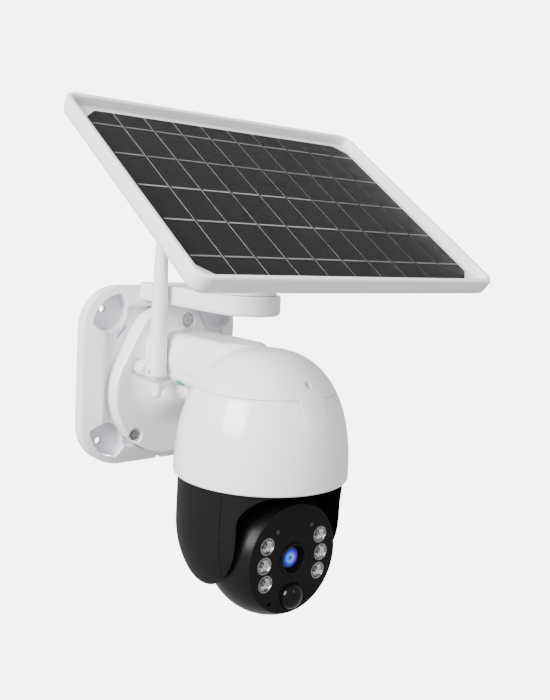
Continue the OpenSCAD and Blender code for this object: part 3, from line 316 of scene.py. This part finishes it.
arm_w, arm_h, arm_edge = 44.0, 36.0, 9.0
corner = np.linspace(0, np.pi / 2, 24)
section = np.concatenate([
    np.stack([(arm_w / 2 - arm_edge) * sx + arm_edge * np.cos(corner + base),
              arm_h / 2 + (arm_h / 2 - arm_edge) * sz + arm_edge * np.sin(corner + base)], -1)
    for sx, sz, base in ((1, 1, 0), (-1, 1, np.pi / 2), (-1, -1, np.pi), (1, -1, 1.5 * np.pi))
])
section_angle = np.unwrap(np.arctan2(section[:, 1] - seam_z, section[:, 0]))
section_reach = np.hypot(section[:, 0], section[:, 1] - seam_z)


def arm_reach(angle):
    """Distance from the seam line to the arm's rounded-box section in the direction of angle, read between
    the section's own points."""
    return np.interp(angle, section_angle, section_reach, period=2 * np.pi)


def dome_reach(y, angle):
    """Distance r from the seam line to the dome in the plane y, where the point (r * cos a, y, seam_z + r *
    sin a) is dome_radius away from the pan axis. It is found by halving the gap between a low and a high
    guess."""
    low, high = np.zeros(np.broadcast(y, angle).shape), np.full(np.broadcast(y, angle).shape, 70.0)
    for _ in range(40):
        middle = (low + high) / 2
        far = np.hypot(middle * np.cos(angle), y - pan_y)
        outside = far > dome_radius(seam_z + middle * np.sin(angle))
        low, high = np.where(outside, low, middle), np.where(outside, middle, high)
    return low


stations = np.concatenate([np.linspace(flange_front + 2, -84, 30)[:-1],
                           pan_y + dome_radius(seam_z) * np.cos(np.linspace(0, np.pi, 190))])[:, None]
upper = np.radians(np.linspace(0, 180, 221))[None, :]
fade = np.clip((stations - (pan_y - 8)) / 34, 0, 1)
fade = fade * fade * (3 - 2 * fade)
arm_part, dome_part = arm_reach(upper) * fade, dome_reach(stations, upper)
soft = 1.2 + 11 * np.clip(np.sin(upper), 0, 1) ** 5
near = np.clip(soft - np.abs(arm_part - dome_part), 0, None) / soft
reach = np.maximum(arm_part, dome_part) + near**2 * soft / 4 * np.minimum(4 * fade, 1)
reach = np.minimum(reach, (crown_z - seam_z) / np.maximum(np.sin(upper), 0.2) + 0 * stations)
cap_points = np.stack([reach * np.cos(upper), stations + 0 * upper, seam_z + reach * np.sin(upper)], -1)
hole_z, hole_r, hole_deep, catch = 18.7, 2.7, 3.0, 0.3
hole_at = np.array([0.0, pan_y - dome_radius(hole_z), hole_z])
hole_way = np.array([0.0, -1.0, dome_radius(hole_z - 0.5) - dome_radius(hole_z + 0.5)])
hole_way /= np.linalg.norm(hole_way)
away = cap_points - hole_at
depth = away @ hole_way
flat = away - depth[..., None] * hole_way
far = np.linalg.norm(flat, axis=-1)
nearby = np.abs(depth) < hole_deep
slide = np.where(nearby & (np.abs(far - hole_r) < catch), hole_r / np.maximum(far, 1e-6), 1.0)
sink = np.where(nearby & (far < hole_r - catch), -hole_deep, depth)
cap_points = hole_at + flat * slide[..., None] + sink[..., None] * hole_way
fitted(skin("arm_and_dome_cap", cap_points * MM, sharp=40), "wall_side", "white_shell", shell_white,
       "arm_housing")

lower = np.radians(np.linspace(180, 360, 121))[None, :]
under = np.linspace(flange_front + 2, -92, 36)[:, None]
under_points = np.stack([arm_reach(lower) * np.cos(lower) + 0 * under, under + 0 * lower,
                         seam_z + arm_reach(lower) * np.sin(lower) + 0 * under], -1)
fitted(skin("arm_underside", under_points * MM), "wall_side", "white_shell", shell_white, "arm_housing")

tab_half, tab_low, tab_proud = 10.0, -9.0, 0.45
across = np.linspace(-1, 1, 61)[None, :]
down = np.linspace(0, 1, 81)[:, None]
tab_z = seam_z + 0.6 + (tab_low - seam_z - 0.6) * down
round_part = np.clip((tab_low + tab_half - tab_z) / tab_half, 0, 1)
tab_x = across * tab_half * np.sqrt(np.maximum(1 - round_part**2, 0))
edge_gap = np.minimum((1 - np.abs(across)) * tab_half, (tab_z - tab_low))
proud = tab_proud * np.sqrt(np.clip(1 - (1 - np.clip(edge_gap / 0.8, 0, 1)) ** 2, 0, 1)) - 0.25
tab_r = dome_radius(tab_z) + proud
tab_points = np.stack([tab_x, pan_y - np.sqrt(np.maximum(tab_r**2 - tab_x**2, 0)), tab_z + 0 * tab_x], -1)
fitted(skin("cap_tab", tab_points * MM), "wall_side", "white_shell", shell_white, "arm_housing")

foot_x, foot_y, boss_top, boss_r, boss_round_z, web_end_x = -30.0, -50.0, 1.6, 3.7, -5.7, -14.0
boss = [(0, boss_top), (boss_r, boss_top)] + arc((0, boss_round_z), boss_r, 0, -90, 9)
fitted(turned("antenna_boss", np.array(boss) * MM, (foot_x * MM, foot_y * MM, 0), steps=48),
       "wall_side", "white_shell", shell_white, "arm_housing")
web_x = np.linspace(foot_x + 1, web_end_x, 24)[:, None]
web_share = (web_x - foot_x) / (web_end_x - foot_x)
web_top = 0.7 + 8 * web_share**1.5
web_low = -6.6 + 11.5 * web_share
around = np.linspace(0, 2 * np.pi, 48, endpoint=False)[None, :]
web_half, web_power = 2.6, 0.6
web_side = np.sign(np.cos(around)) * np.abs(np.cos(around)) ** web_power
web_rise = np.sign(np.sin(around)) * np.abs(np.sin(around)) ** web_power
web_points = np.stack([web_x + 0 * around, foot_y + web_half * web_side + 0 * web_x,
                       (web_top + web_low) / 2 + (web_top - web_low) / 2 * web_rise], -1)
fitted(skin("antenna_boss_web", web_points * MM, ring_cols=True), "wall_side", "white_shell", shell_white,
       "arm_housing")

# ---- Screws, bolts and pins ----
# Zinc-plated steel pan-head screws with cross slots, bright on their heads and a little duller in the slots.
# They hold the flange, the skirt, the bulkhead, the panel arm and the panel bracket.
plated_steel = moulded("plated_steel", (0.72, 0.72, 0.74), (0.62, 0.62, 0.65), (0.22, 0.36), 0.0004, 0.15,
                       0.004, Metallic=1.0)
for group, body in (
    ("flange_screws", "wall_side"), ("skirt_screws", "wall_side"), ("bulkhead_screws", "wall_side"),
    ("panel_arm_screws", "wall_side"), ("bracket_screws", "solar_panel"), ("hinge_bolt", "panel_swivel"),
    ("swivel_bolt", "panel_swivel"),
):
    fitted(eased(group + "_plated", 0.15 * MM, group), body, "steel", plated_steel, group)
dressed(plated_steel, "antenna_pin", "button_spring", "spindle_ring")

# ---- Button and sticker under the arm ----
# A grey soft-touch power button stands out of the arm's underside. A small oval green film label is bent
# round the arm's lower left edge, and its print is left out.
soft_grey = moulded("soft_grey", (0.30, 0.30, 0.31), (0.26, 0.26, 0.27), (0.6, 0.7), 0.0004, 0.3)
fitted(eased("power_button_cap", 0.4 * MM, "power_button"), "button", "grey_plastic", soft_grey,
       "power_button")
film_green = moulded("film_green", (0.02, 0.33, 0.20), (0.03, 0.42, 0.27), (0.3, 0.42), 0.0008, 0.1, 0.004)
dressed(film_green, "check_sticker")

# ---- Dome skirt ----
# Glossy white ABS bell below the seam, carrying the pan drive. Its lower rim has a soft round lip, and a fine
# groove parts it from the cap.
low_z = np.linspace(seam_z - 0.75, rim_z + 1.4, 60)
rim = arc((dome_r - 1.3, rim_z + 1.3), 1.3, 0, -90, 8)
skirt_profile = (
    [(dome_radius(seam_z - 0.2) - 2.2, seam_z - 0.2), (dome_radius(seam_z) - 0.75, seam_z - 0.2)]
    + [(dome_radius(seam_z - 0.45) - 0.2, seam_z - 0.4)]
    + list(zip(dome_radius(low_z), low_z))
    + rim
    + [(dome_r - 2.3, rim_z + 0.3), (dome_r - 2.6, rim_z + 3.6), (dome_r - 3.2, -28.2), (18, -28.2)]
)
fitted(turned("dome_skirt_bell", np.array(skirt_profile) * MM, (0, pan_y * MM, 0), steps=256, sharp=50),
       "wall_side", "white_shell", shell_white, "dome_skirt")

# ---- Pan drive, power store and boards ----
# Inside the dome: a grey bulkhead with a plain bearing for the spindle, a geared motor with a nylon pinion
# and gear, two lithium cells in a tray, the main board and a small speaker. None of it shows from outside.
inner_grey = moulded("inner_grey", (0.62, 0.62, 0.64), (0.56, 0.56, 0.58), (0.5, 0.6), 0.0006, 0.2)
bearing_blue = moulded("bearing_blue", (0.10, 0.16, 0.24), (0.08, 0.13, 0.20), (0.4, 0.5), 0.0005, 0.1)
nylon = moulded("nylon", (0.80, 0.77, 0.66), (0.74, 0.70, 0.60), (0.45, 0.55), 0.0006, 0.15)
motor_can = moulded("motor_can", (0.66, 0.66, 0.68), (0.58, 0.58, 0.61), (0.28, 0.4), 0.0003, 0.2, 0.008,
                    Metallic=1.0)
board_green = moulded("board_green", (0.015, 0.14, 0.06), (0.02, 0.20, 0.09), (0.3, 0.5), 0.0016, 0.3, 0.004)
sleeve_blue = moulded("sleeve_blue", (0.05, 0.12, 0.42), (0.04, 0.10, 0.36), (0.2, 0.3), 0.002, 0.1)
inner_black = moulded("inner_black", (0.02, 0.02, 0.02), (0.03, 0.03, 0.03), (0.5, 0.65), 0.0006, 0.3)
dressed(inner_grey, "pan_bulkhead")
dressed(bearing_blue, "pan_bearing")
dressed(nylon, "pan_pinion", "pan_gear")
dressed(motor_can, "pan_motor", "tilt_motor")
dressed(board_green, "main_board", "image_board", "lamp_board")
dressed(sleeve_blue, "battery_cells")
dressed(inner_black, "battery_tray", "speaker")

# ---- Yoke ----
# Matt black ABS turret that hangs from the spindle. A U-shaped cover closes each ear over the tilt drive,
# bounded by a groove, and the two halves meet in a fine level seam at the front of each ear.
matt_black = moulded("matt_black", (0.0065, 0.0065, 0.0067), (0.0085, 0.0085, 0.0087), (0.42, 0.52), 0.0007,
                     0.10, 0.02, Specular_IOR_Level=0.07)
fitted(eased("yoke_shell", 0.5 * MM, "yoke", angle=40), "turret", "black_shell", matt_black, "yoke")
fitted(eased("ear_cover_pair", 0.3 * MM, "ear_covers", angle=40), "turret", "black_shell", matt_black,
       "ear_covers")
dressed(plated_steel, "tilt_drive_hub", "tilt_pivot_pin")

# ---- Camera head ----
# Ball of polished black ABS in a rear and a front half, cut flat in front. The flat carries a smoked dark
# face plate set into a thin raised rim.
satin_black = moulded("satin_black", (0.0055, 0.0055, 0.0057), (0.0070, 0.0070, 0.0072), (0.27, 0.34), 0.0007,
                      0.06, 0.02, Specular_IOR_Level=0.10)
ball_at = np.array([0, -145.5, -92.0]) * MM
ball_r, face_r, seam_back = 41.5, 35.0, -8.0
face_ahead = np.sqrt(ball_r**2 - face_r**2)


def ball_line(start, end, count):
    """Radius and height of the ball's outline between two heights along its own axis: the radius is
    sqrt(ball_r ** 2 - height ** 2)."""
    height = np.linspace(start, end, count)
    return list(zip(np.sqrt(np.maximum(ball_r**2 - height**2, 0)), height))


polar = np.linspace(np.pi, np.arccos((seam_back - 0.25) / ball_r), 60)
rear = [(ball_r * np.sin(a), ball_r * np.cos(a)) for a in polar]
rear += [(rear[-1][0] - 0.5, seam_back - 0.05), (rear[-1][0] - 2, seam_back - 0.05)]
fitted(turned("head_rear_half", np.array(rear) * MM, ball_at, "Y", 160, 50),
       "head", "black_gloss", satin_black, "head_rear_shell")
front = [(ball_r - 3, seam_back + 0.1), (np.sqrt(ball_r**2 - seam_back**2) - 0.5, seam_back + 0.1)]
front += ball_line(seam_back + 0.3, face_ahead - 0.7, 50)
front += arc((face_r - 0.35, face_ahead - 0.6), 0.6, 25, 110, 5)
front += [(face_r - 0.7, face_ahead - 0.6), (face_r - 0.75, face_ahead - 2.1),
          (face_r - 5, face_ahead - 2.15)]
fitted(turned("head_front_half", np.array(front) * MM, ball_at, "Y", 160, 50),
       "head", "black_gloss", satin_black, "head_front_shell")
dressed(nylon, "tilt_bush")

# ---- Face plate ----
# Disc of smoked acrylic, polished in front, with round holes for the lens, the six lights and the motion
# sensor, and small ones for the microphone and the two light sensors.
smoked = moulded("smoked_acrylic", (0.0060, 0.0060, 0.0062), (0.0075, 0.0075, 0.0077), (0.12, 0.18), 0.003,
                 0.0, 0.03, Specular_IOR_Level=0.07)
fitted(eased("face_plate_disc", 0.25 * MM, "face_plate"), "head", "black_gloss", smoked, "face_plate")
dim_grey = moulded("sensor_grey", (0.016, 0.016, 0.017), (0.012, 0.012, 0.013), (0.35, 0.45), 0.0006, 0.1,
                   0.002)
dressed(dim_grey, "light_sensors")
dressed(motor_can, "motion_sensor", "microphone")

# ---- Camera lens ----
# Black anodised barrel with stepped rings, closed by a curved front glass whose violet and blue coating shine
# is a painted reflection with a faint painted glow, with the smaller glass elements of the lens behind it.
face_at = ball_at + np.array([0, -face_ahead * MM, 0])
barrel_black = moulded("barrel_black", (0.003, 0.003, 0.0032), (0.005, 0.005, 0.0053), (0.3, 0.42), 0.0004,
                       0.1, 0.01, Specular_IOR_Level=0.1)
barrel = [(10.5, -2.5), (10.5, 0.7)] + arc((10.1, 0.7), 0.4, 0, 90, 4) + arc((9.3, 0.7), 0.4, 90, 180, 4)
barrel += [(8.8, -2.3), (8.4, -2.6), (8.0, -2.0), (7.6, -2.0), (7.5, -3.4), (6.6, -3.8)]
barrel += [(6.4, -5.2), (5.2, -5.6), (4.9, -7.2), (0, -7.4)]
fitted(turned("lens_barrel_rings", np.array(barrel) * MM, face_at, "Y", 96, 30),
       "head", "black_plastic", barrel_black, "lens_barrel")


def painted_lens_reflection(name, rings, sides, centre, radius):
    """Glass with its coating's shine painted in: the first of the rings' colours lies at radius from centre
    and the last at centre, with a painted highlight ring partway in, and that colour is multiplied by the
    sides' colours, a painted reflection that runs from centre to radius on the right. The same colour also
    glows faintly as painted light, though the lens is no lamp, and a clear hard coat lies over it."""
    # The emission strength gives the lens a faint painted glow, though it is no lamp.
    material = moulded(name, rings[0], rings[1], (0.03, 0.06), 0.002, 0.0, 0.006, Coat_Weight=0.25,
                       Coat_Roughness=0.02, Specular_IOR_Level=0.15, Emission_Strength=0.25)
    nodes, links = material.node_tree.nodes, material.node_tree.links
    glass = nodes["Principled BSDF"]
    place = nodes.new("ShaderNodeTexCoord")
    shift = nodes.new("ShaderNodeMapping")
    shift.vector_type = "TEXTURE"
    shift.inputs["Location"].default_value = centre
    shift.inputs["Scale"].default_value = (radius, radius, radius)
    links.new(place.outputs["Object"], shift.inputs["Vector"])
    ramps = []
    for kind, colours in (("SPHERICAL", rings), ("LINEAR", sides)):
        spread = nodes.new("ShaderNodeTexGradient")
        spread.gradient_type = kind
        links.new(shift.outputs["Vector"], spread.inputs["Vector"])
        ramp = nodes.new("ShaderNodeValToRGB")
        ramp.color_ramp.elements[0].color = (*colours[0], 1)
        ramp.color_ramp.elements[1].color = (*colours[-1], 1)
        for k, colour in enumerate(colours[1:-1]):
            ramp.color_ramp.elements.new((k + 1) / (len(colours) - 1)).color = (*colour, 1)
        links.new(spread.outputs["Fac"], ramp.inputs["Fac"])
        ramps.append(ramp)
    both = nodes.new("ShaderNodeMix")
    both.data_type = "RGBA"
    both.blend_type = "MULTIPLY"
    both.inputs[0].default_value = 1
    links.new(ramps[0].outputs["Color"], both.inputs[6])
    links.new(ramps[1].outputs["Color"], both.inputs[7])
    links.new(both.outputs[2], glass.inputs["Base Color"])
    links.new(both.outputs[2], glass.inputs["Emission Color"])
    return material


glass_edge = np.linspace(0, 1, 24)
front_glass = [(7.45 * s, -2.1 + 2.4 * (np.sqrt(1 - 0.72 * s * s) - np.sqrt(0.28))) for s in glass_edge]
# Painted reflection: the coating's violet, blue and pink shine and a bright highlight ring are painted into
# the glass colour.
violet_reflection = painted_lens_reflection(
    "painted_violet_reflection",
    [(0.001, 0.001, 0.008), (0.010, 0.008, 0.12), (0.06, 0.03, 0.42), (0.20, 0.10, 0.85), (0.75, 0.50, 1.0),
     (0.15, 0.10, 0.45), (0.01, 0.01, 0.04)],
    [(0.10, 0.90, 1.0), (0.60, 0.50, 1.0), (1.0, 0.55, 0.95)],
    tuple(face_at + np.array([-1.5 * MM, 0, 0.6 * MM])), 7.6 * MM)
fitted(turned("lens_front_glass", np.array(front_glass) * MM, face_at, "Y", 96, 60),
       "head", "lens_glass", violet_reflection, "lens_glass")

# ---- Lights ----
# Six night lights in two columns. Each is a bright dimpled reflector cup with a small chip at its bottom,
# under a clear domed lens. The chips sit on the lamp board behind the face plate.
lamp_r, lamp_side, lamp_pitch, lamp_bow = 5.5, 23.3, 12.0, 1.6
lamp_places = [(s * (lamp_side - lamp_bow * abs(k)), k * lamp_pitch) for s in (-1, 1) for k in (-1, 0, 1)]


def repeated(name, profile, places, steps, centre, dimple=0.0, sharp=40):
    """The same surface of revolution about the view axis at each place. The wave dimple * sin(8 a) * sin(3
    pi r / R) is added to its height, for angle a, radius r and largest radius R."""
    angle = np.linspace(0, 2 * np.pi, steps, endpoint=False)[None, :]
    radius, height = (np.asarray(profile, float).T)[:, :, None]
    wave = dimple * np.sin(8 * angle) * np.sin(np.pi * radius / np.max(radius) * 3)
    one = np.stack([radius * np.cos(angle), -(height + wave) + 0 * angle, radius * np.sin(angle)], -1)
    rows, cols = one.shape[:2]
    i, j = np.arange(rows - 1)[:, None], np.arange(cols)[None, :]
    beside = (j + 1) % cols
    grid = np.stack([i * cols + j, i * cols + beside, (i + 1) * cols + beside, (i + 1) * cols + j], -1)
    grid = grid.reshape(-1, 4)
    corners = np.concatenate([one.reshape(-1, 3) + np.array([x, 0, z]) for x, z in places])
    faces = np.concatenate([grid + k * rows * cols for k in range(len(places))])
    return joined(name, corners * MM + centre, faces, sharp)


cup = [(lamp_r - 0.02, 0.15), (lamp_r - 0.7, 0.25), (lamp_r - 0.9, 0.0)]
cup += [(4.1, -1.0), (3.4, -1.5), (2.6, -2.0), (1.9, -2.4), (1.8, -3.0), (0, -3.2)]
bright = moulded("bright_reflector", (0.42, 0.42, 0.43), (0.08, 0.08, 0.085), (0.1, 0.25), 0.0011, 0.6,
                 0.0016, Metallic=1.0)
fitted(repeated("lamp_reflectors", cup, lamp_places, 64, face_at, 0.16), "head", "lamp_clear", bright,
       "lamp_lenses")
chip_dome = [(1.7, -3.0), (1.5, -2.3), (1.0, -1.7), (0.5, -1.5), (0, -1.45)]
chip_gel = moulded("chip_gel", (0.05, 0.05, 0.048), (0.02, 0.02, 0.02), (0.08, 0.15), 0.0008, 0.2, 0.001,
                   Coat_Weight=0.6)
fitted(repeated("lamp_chip_domes", chip_dome, lamp_places, 32, face_at), "head", "lamp_chip", chip_gel,
       "lamp_emitters")
clear = moulded("clear_lens", (0.95, 0.96, 0.97), (0.92, 0.94, 0.96), (0.02, 0.06), 0.0012, 0.2, 0.002,
                Transmission_Weight=1.0, IOR=1.15, Alpha=0.2)
dome_lens = [((lamp_r - 0.5) * np.cos(a), 0.25 + 1.05 * np.sin(a)) for a in np.linspace(0, np.pi / 2, 12)]
fitted(repeated("lamp_clear_lenses", dome_lens, lamp_places, 48, face_at), "head", "lamp_clear", clear,
       "lamp_lenses")

# ---- Motion sensor ----
# Domed lens of smoked polyethylene over the motion sensor, moulded with shallow facets that cut its view into
# zones. It snaps into the face plate from behind.
sensor_at = face_at + np.array([0, 0, -24.2 * MM])
smoked_dome = moulded("smoked_dome", (0.0025, 0.0025, 0.0027), (0.0035, 0.0035, 0.0038), (0.06, 0.1), 0.0032,
                      0.05, 0.01, Specular_IOR_Level=0.16)
bulge = [(8.45, -1.6)] + [(8.45 * np.cos(a), 0.1 + 6.2 * np.sin(a)) for a in np.linspace(0, np.pi / 2, 28)]
fitted(turned("motion_sensor_dome", np.array(bulge) * MM, sensor_at, "Y", 96, 40),
       "head", "sensor_dome", smoked_dome, "motion_lens")

# ---- Antenna ----
# Matt white rubbery sleeve, widest at its foot and tapering to a round tip, hinged on a pin across the
# tongue of its elbow. The elbow turns in the brass jack, which a knurled nut clamps to the flange.
sleeve_white = moulded("sleeve_white", (0.80, 0.80, 0.81), (0.77, 0.77, 0.785), (0.5, 0.6), 0.0005, 0.25)
elbow_z = 9.0
fitted(eased("antenna_sleeve", 0.7 * MM, "antenna_rod"), "antenna", "white_antenna", sleeve_white,
       "antenna_rod")
fitted(eased("antenna_elbow_joint", 0.4 * MM, "antenna_elbow"), "antenna_base", "grey_plastic", sleeve_white,
       "antenna_elbow")
brass = moulded("brass", (0.62, 0.48, 0.20), (0.55, 0.42, 0.18), (0.2, 0.3), 0.0003, 0.15, 0.004,
                Metallic=1.0)
dressed(brass, "antenna_jack")
nut_turn = np.linspace(0, 2 * np.pi, 240, endpoint=False)[None, :]
nut_shape = np.array([(3.6, 0.0), (5.2, 0.0), (5.75, 0.5), (5.75, 4.5), (5.2, 5.0), (3.6, 5.0)])
nut_r, nut_h = nut_shape[:, 0][:, None], nut_shape[:, 1][:, None]
knurl_from, knurl_deep, knurl_waves = 5.5, 0.55, 12
knurl = np.where(nut_r > knurl_from, knurl_deep * np.abs(np.sin(knurl_waves * nut_turn)) ** 3, 0)
nut_points = np.stack([foot_x + (nut_r - knurl) * np.cos(nut_turn), flange_front - nut_h + 0 * nut_turn,
                       elbow_z + (nut_r - knurl) * np.sin(nut_turn)], -1)
fitted(skin("antenna_knurled_nut", nut_points * MM, ring_rows=True, ring_cols=True, sharp=30),
       "wall_side", "steel", plated_steel, "antenna_nut")

# ---- Panel arm ----
# Flat white ABS arm with a round end, screwed to the top of the plate from behind. Its edges are well
# rounded, and the swivel of the panel stands on its round end.
arm_white = moulded("arm_white", (0.84, 0.84, 0.85), (0.80, 0.80, 0.82), (0.28, 0.36), 0.0006, 0.06)
slab_low, slab_high, slab_half, slab_end, slab_root = 55.0, 68.0, 23.0, -106.0, -12.5
sweep = np.linspace(np.pi, 2 * np.pi, 73)
outline = np.concatenate([
    np.stack([np.full(40, -1.0), np.zeros(40), np.linspace(slab_root, slab_end, 41)[:-1]], -1),
    np.stack([np.cos(sweep), np.sin(sweep), np.full(73, slab_end)], -1),
    np.stack([np.full(40, 1.0), np.zeros(40), np.linspace(slab_end, slab_root, 41)[1:]], -1),
    np.stack([np.linspace(1, -1, 30)[1:-1], np.zeros(28), np.full(28, slab_root)], -1),
])[None, :, :]
soft_edge = 2.6
top_edge = 1.2
slab_profile = [(0, slab_low), (slab_half - soft_edge, slab_low)]
slab_profile += arc((slab_half - soft_edge, slab_low + soft_edge), soft_edge, -90, 0, 8)
slab_profile += [(slab_half - 0.05, slab_high - top_edge)]
slab_profile += arc((slab_half - top_edge, slab_high - top_edge), top_edge, 0, 90, 5) + [(0, slab_high)]
reach, height = np.array(slab_profile).T[:, :, None]
slab_x, slab_y = outline[..., 0] * reach, outline[..., 1] * reach + outline[..., 2]
slab_points = np.stack([slab_x, slab_y, height + 0 * slab_x], -1)
fitted(skin("panel_arm_moulding", slab_points * MM, ring_cols=True, sharp=50),
       "wall_side", "white_mount", arm_white, "panel_arm")

# ---- Swivel and hinge ----
# White glass-filled nylon: a round foot that turns on the arm, two ears with the tilt bolt, and the bracket
# that is screwed under the tray. A black lobed nut locks the tilt.
for part, body, edge in (("swivel_yoke", "panel_swivel", 0.8), ("panel_bracket", "solar_panel", 0.8)):
    fitted(eased(part + "_moulding", edge * MM, part), body, "white_mount", arm_white, part)
fitted(eased("hinge_lock_nut", 0.6 * MM, "hinge_nut"), "panel_swivel", "black_plastic", inner_black,
       "hinge_nut")

# ---- Panel tray ----
# White ABS tray with a raised rim round the glass. Its side runs straight down and then rolls under in a wide
# soft edge to the flat back.
tilt = np.radians(33.8)
panel_at = np.array([0, -142.0, 132.5])
panel_l, panel_w, panel_corner, tightest_corner = 232.0, 176.0, 9.0, 1.2
rim_top, tray_back, lip = 3.0, -9.0, 4.0


def on_panel(points):
    """Points in the panel's own axes, laid on its slope: turned about X by the tilt, then moved to its
    middle."""
    x, y, z = points[..., 0], points[..., 1], points[..., 2]
    across, rise = y * np.cos(tilt) - z * np.sin(tilt), y * np.sin(tilt) + z * np.cos(tilt)
    return np.stack([x, across, rise], -1) + panel_at


quarter = np.linspace(0, np.pi / 2, 13)


def frame_loop(inset):
    """Rounded rectangle of the panel's outline, moved inwards by inset: its straight sides shrink by inset
    each way, and its corner radius by as much, though not below the tightest one that the mould has."""
    radius = max(panel_corner - inset, tightest_corner)
    half_l, half_w = panel_l / 2 - inset - radius, panel_w / 2 - inset - radius
    return np.concatenate([
        np.stack([sx * half_l + radius * np.cos(quarter + base),
                  sy * half_w + radius * np.sin(quarter + base)], -1)
        for sx, sy, base in ((1, 1, 0), (-1, 1, np.pi / 2), (-1, -1, np.pi), (1, -1, 1.5 * np.pi))
    ])


lip_r = 1.4
tray_profile = [(lip + 6, -4.2), (lip + 0.1, -4.0), (lip, 0.3), (lip, rim_top - 1.6)]
tray_profile += arc((lip - lip_r, rim_top - lip_r), lip_r, 0, 90, 4)
rim_r, side_low, draft, roll_in, roll_down = 1.3, -4.0, 0.25, 4.5, 5.0
outer_profile = [(rim_r, rim_top)] + [(rim_r - rim_r * np.sin(a), rim_top - rim_r + rim_r * np.cos(a))
                                      for a in np.linspace(0.2, np.pi / 2, 6)]
outer_profile += [(0, -1.0), (draft, side_low)]
outer_profile += [(draft + roll_in * (1 - np.cos(a)), side_low - roll_down * np.sin(a))
                  for a in np.linspace(0.15, np.pi / 2, 10)]
outer_profile += [(12, tray_back), (40, tray_back), (70, tray_back), (87.5, tray_back)]
tray_rows = []
for inset, height in tray_profile + outer_profile:
    loop = frame_loop(inset)
    tray_rows.append(np.concatenate([loop, np.full((len(loop), 1), height)], 1))
fitted(skin("panel_tray_moulding", on_panel(np.stack(tray_rows)) * MM, ring_cols=True, sharp=45),
       "solar_panel", "white_tray", arm_white, "panel_tray")
dressed(arm_white, "panel_back_sheet")
fitted(eased("junction_box_moulding", 0.8 * MM, "junction_box"), "solar_panel", "black_plastic", inner_black,
       "junction_box")

# ---- Solar cells ----
# Ten strips of dark blue-black silicon, each crossed by five thin tinned ribbons, laminated on a white sheet
# under clear tempered glass. The glass is left almost invisible, so that the cells show dark through it.
cell_black = moulded("cell_black", (0.0070, 0.0070, 0.0074), (0.0110, 0.0104, 0.0100), (0.4, 0.5), 0.004, 0.0,
                     0.05, Specular_IOR_Level=0.1)
dressed(cell_black, "solar_cells")
tinned = moulded("tinned_ribbon", (0.36, 0.36, 0.37), (0.28, 0.28, 0.29), (0.4, 0.5), 0.002, 0.05, 0.003)
dressed(tinned, "cell_ribbons")
pane = moulded("pane_glass", (0.02, 0.02, 0.022), (0.03, 0.03, 0.033), (0.3, 0.36), 0.004, 0.0, 0.05,
               Alpha=0.04, Specular_IOR_Level=0.0)
dressed(pane, "panel_glass")
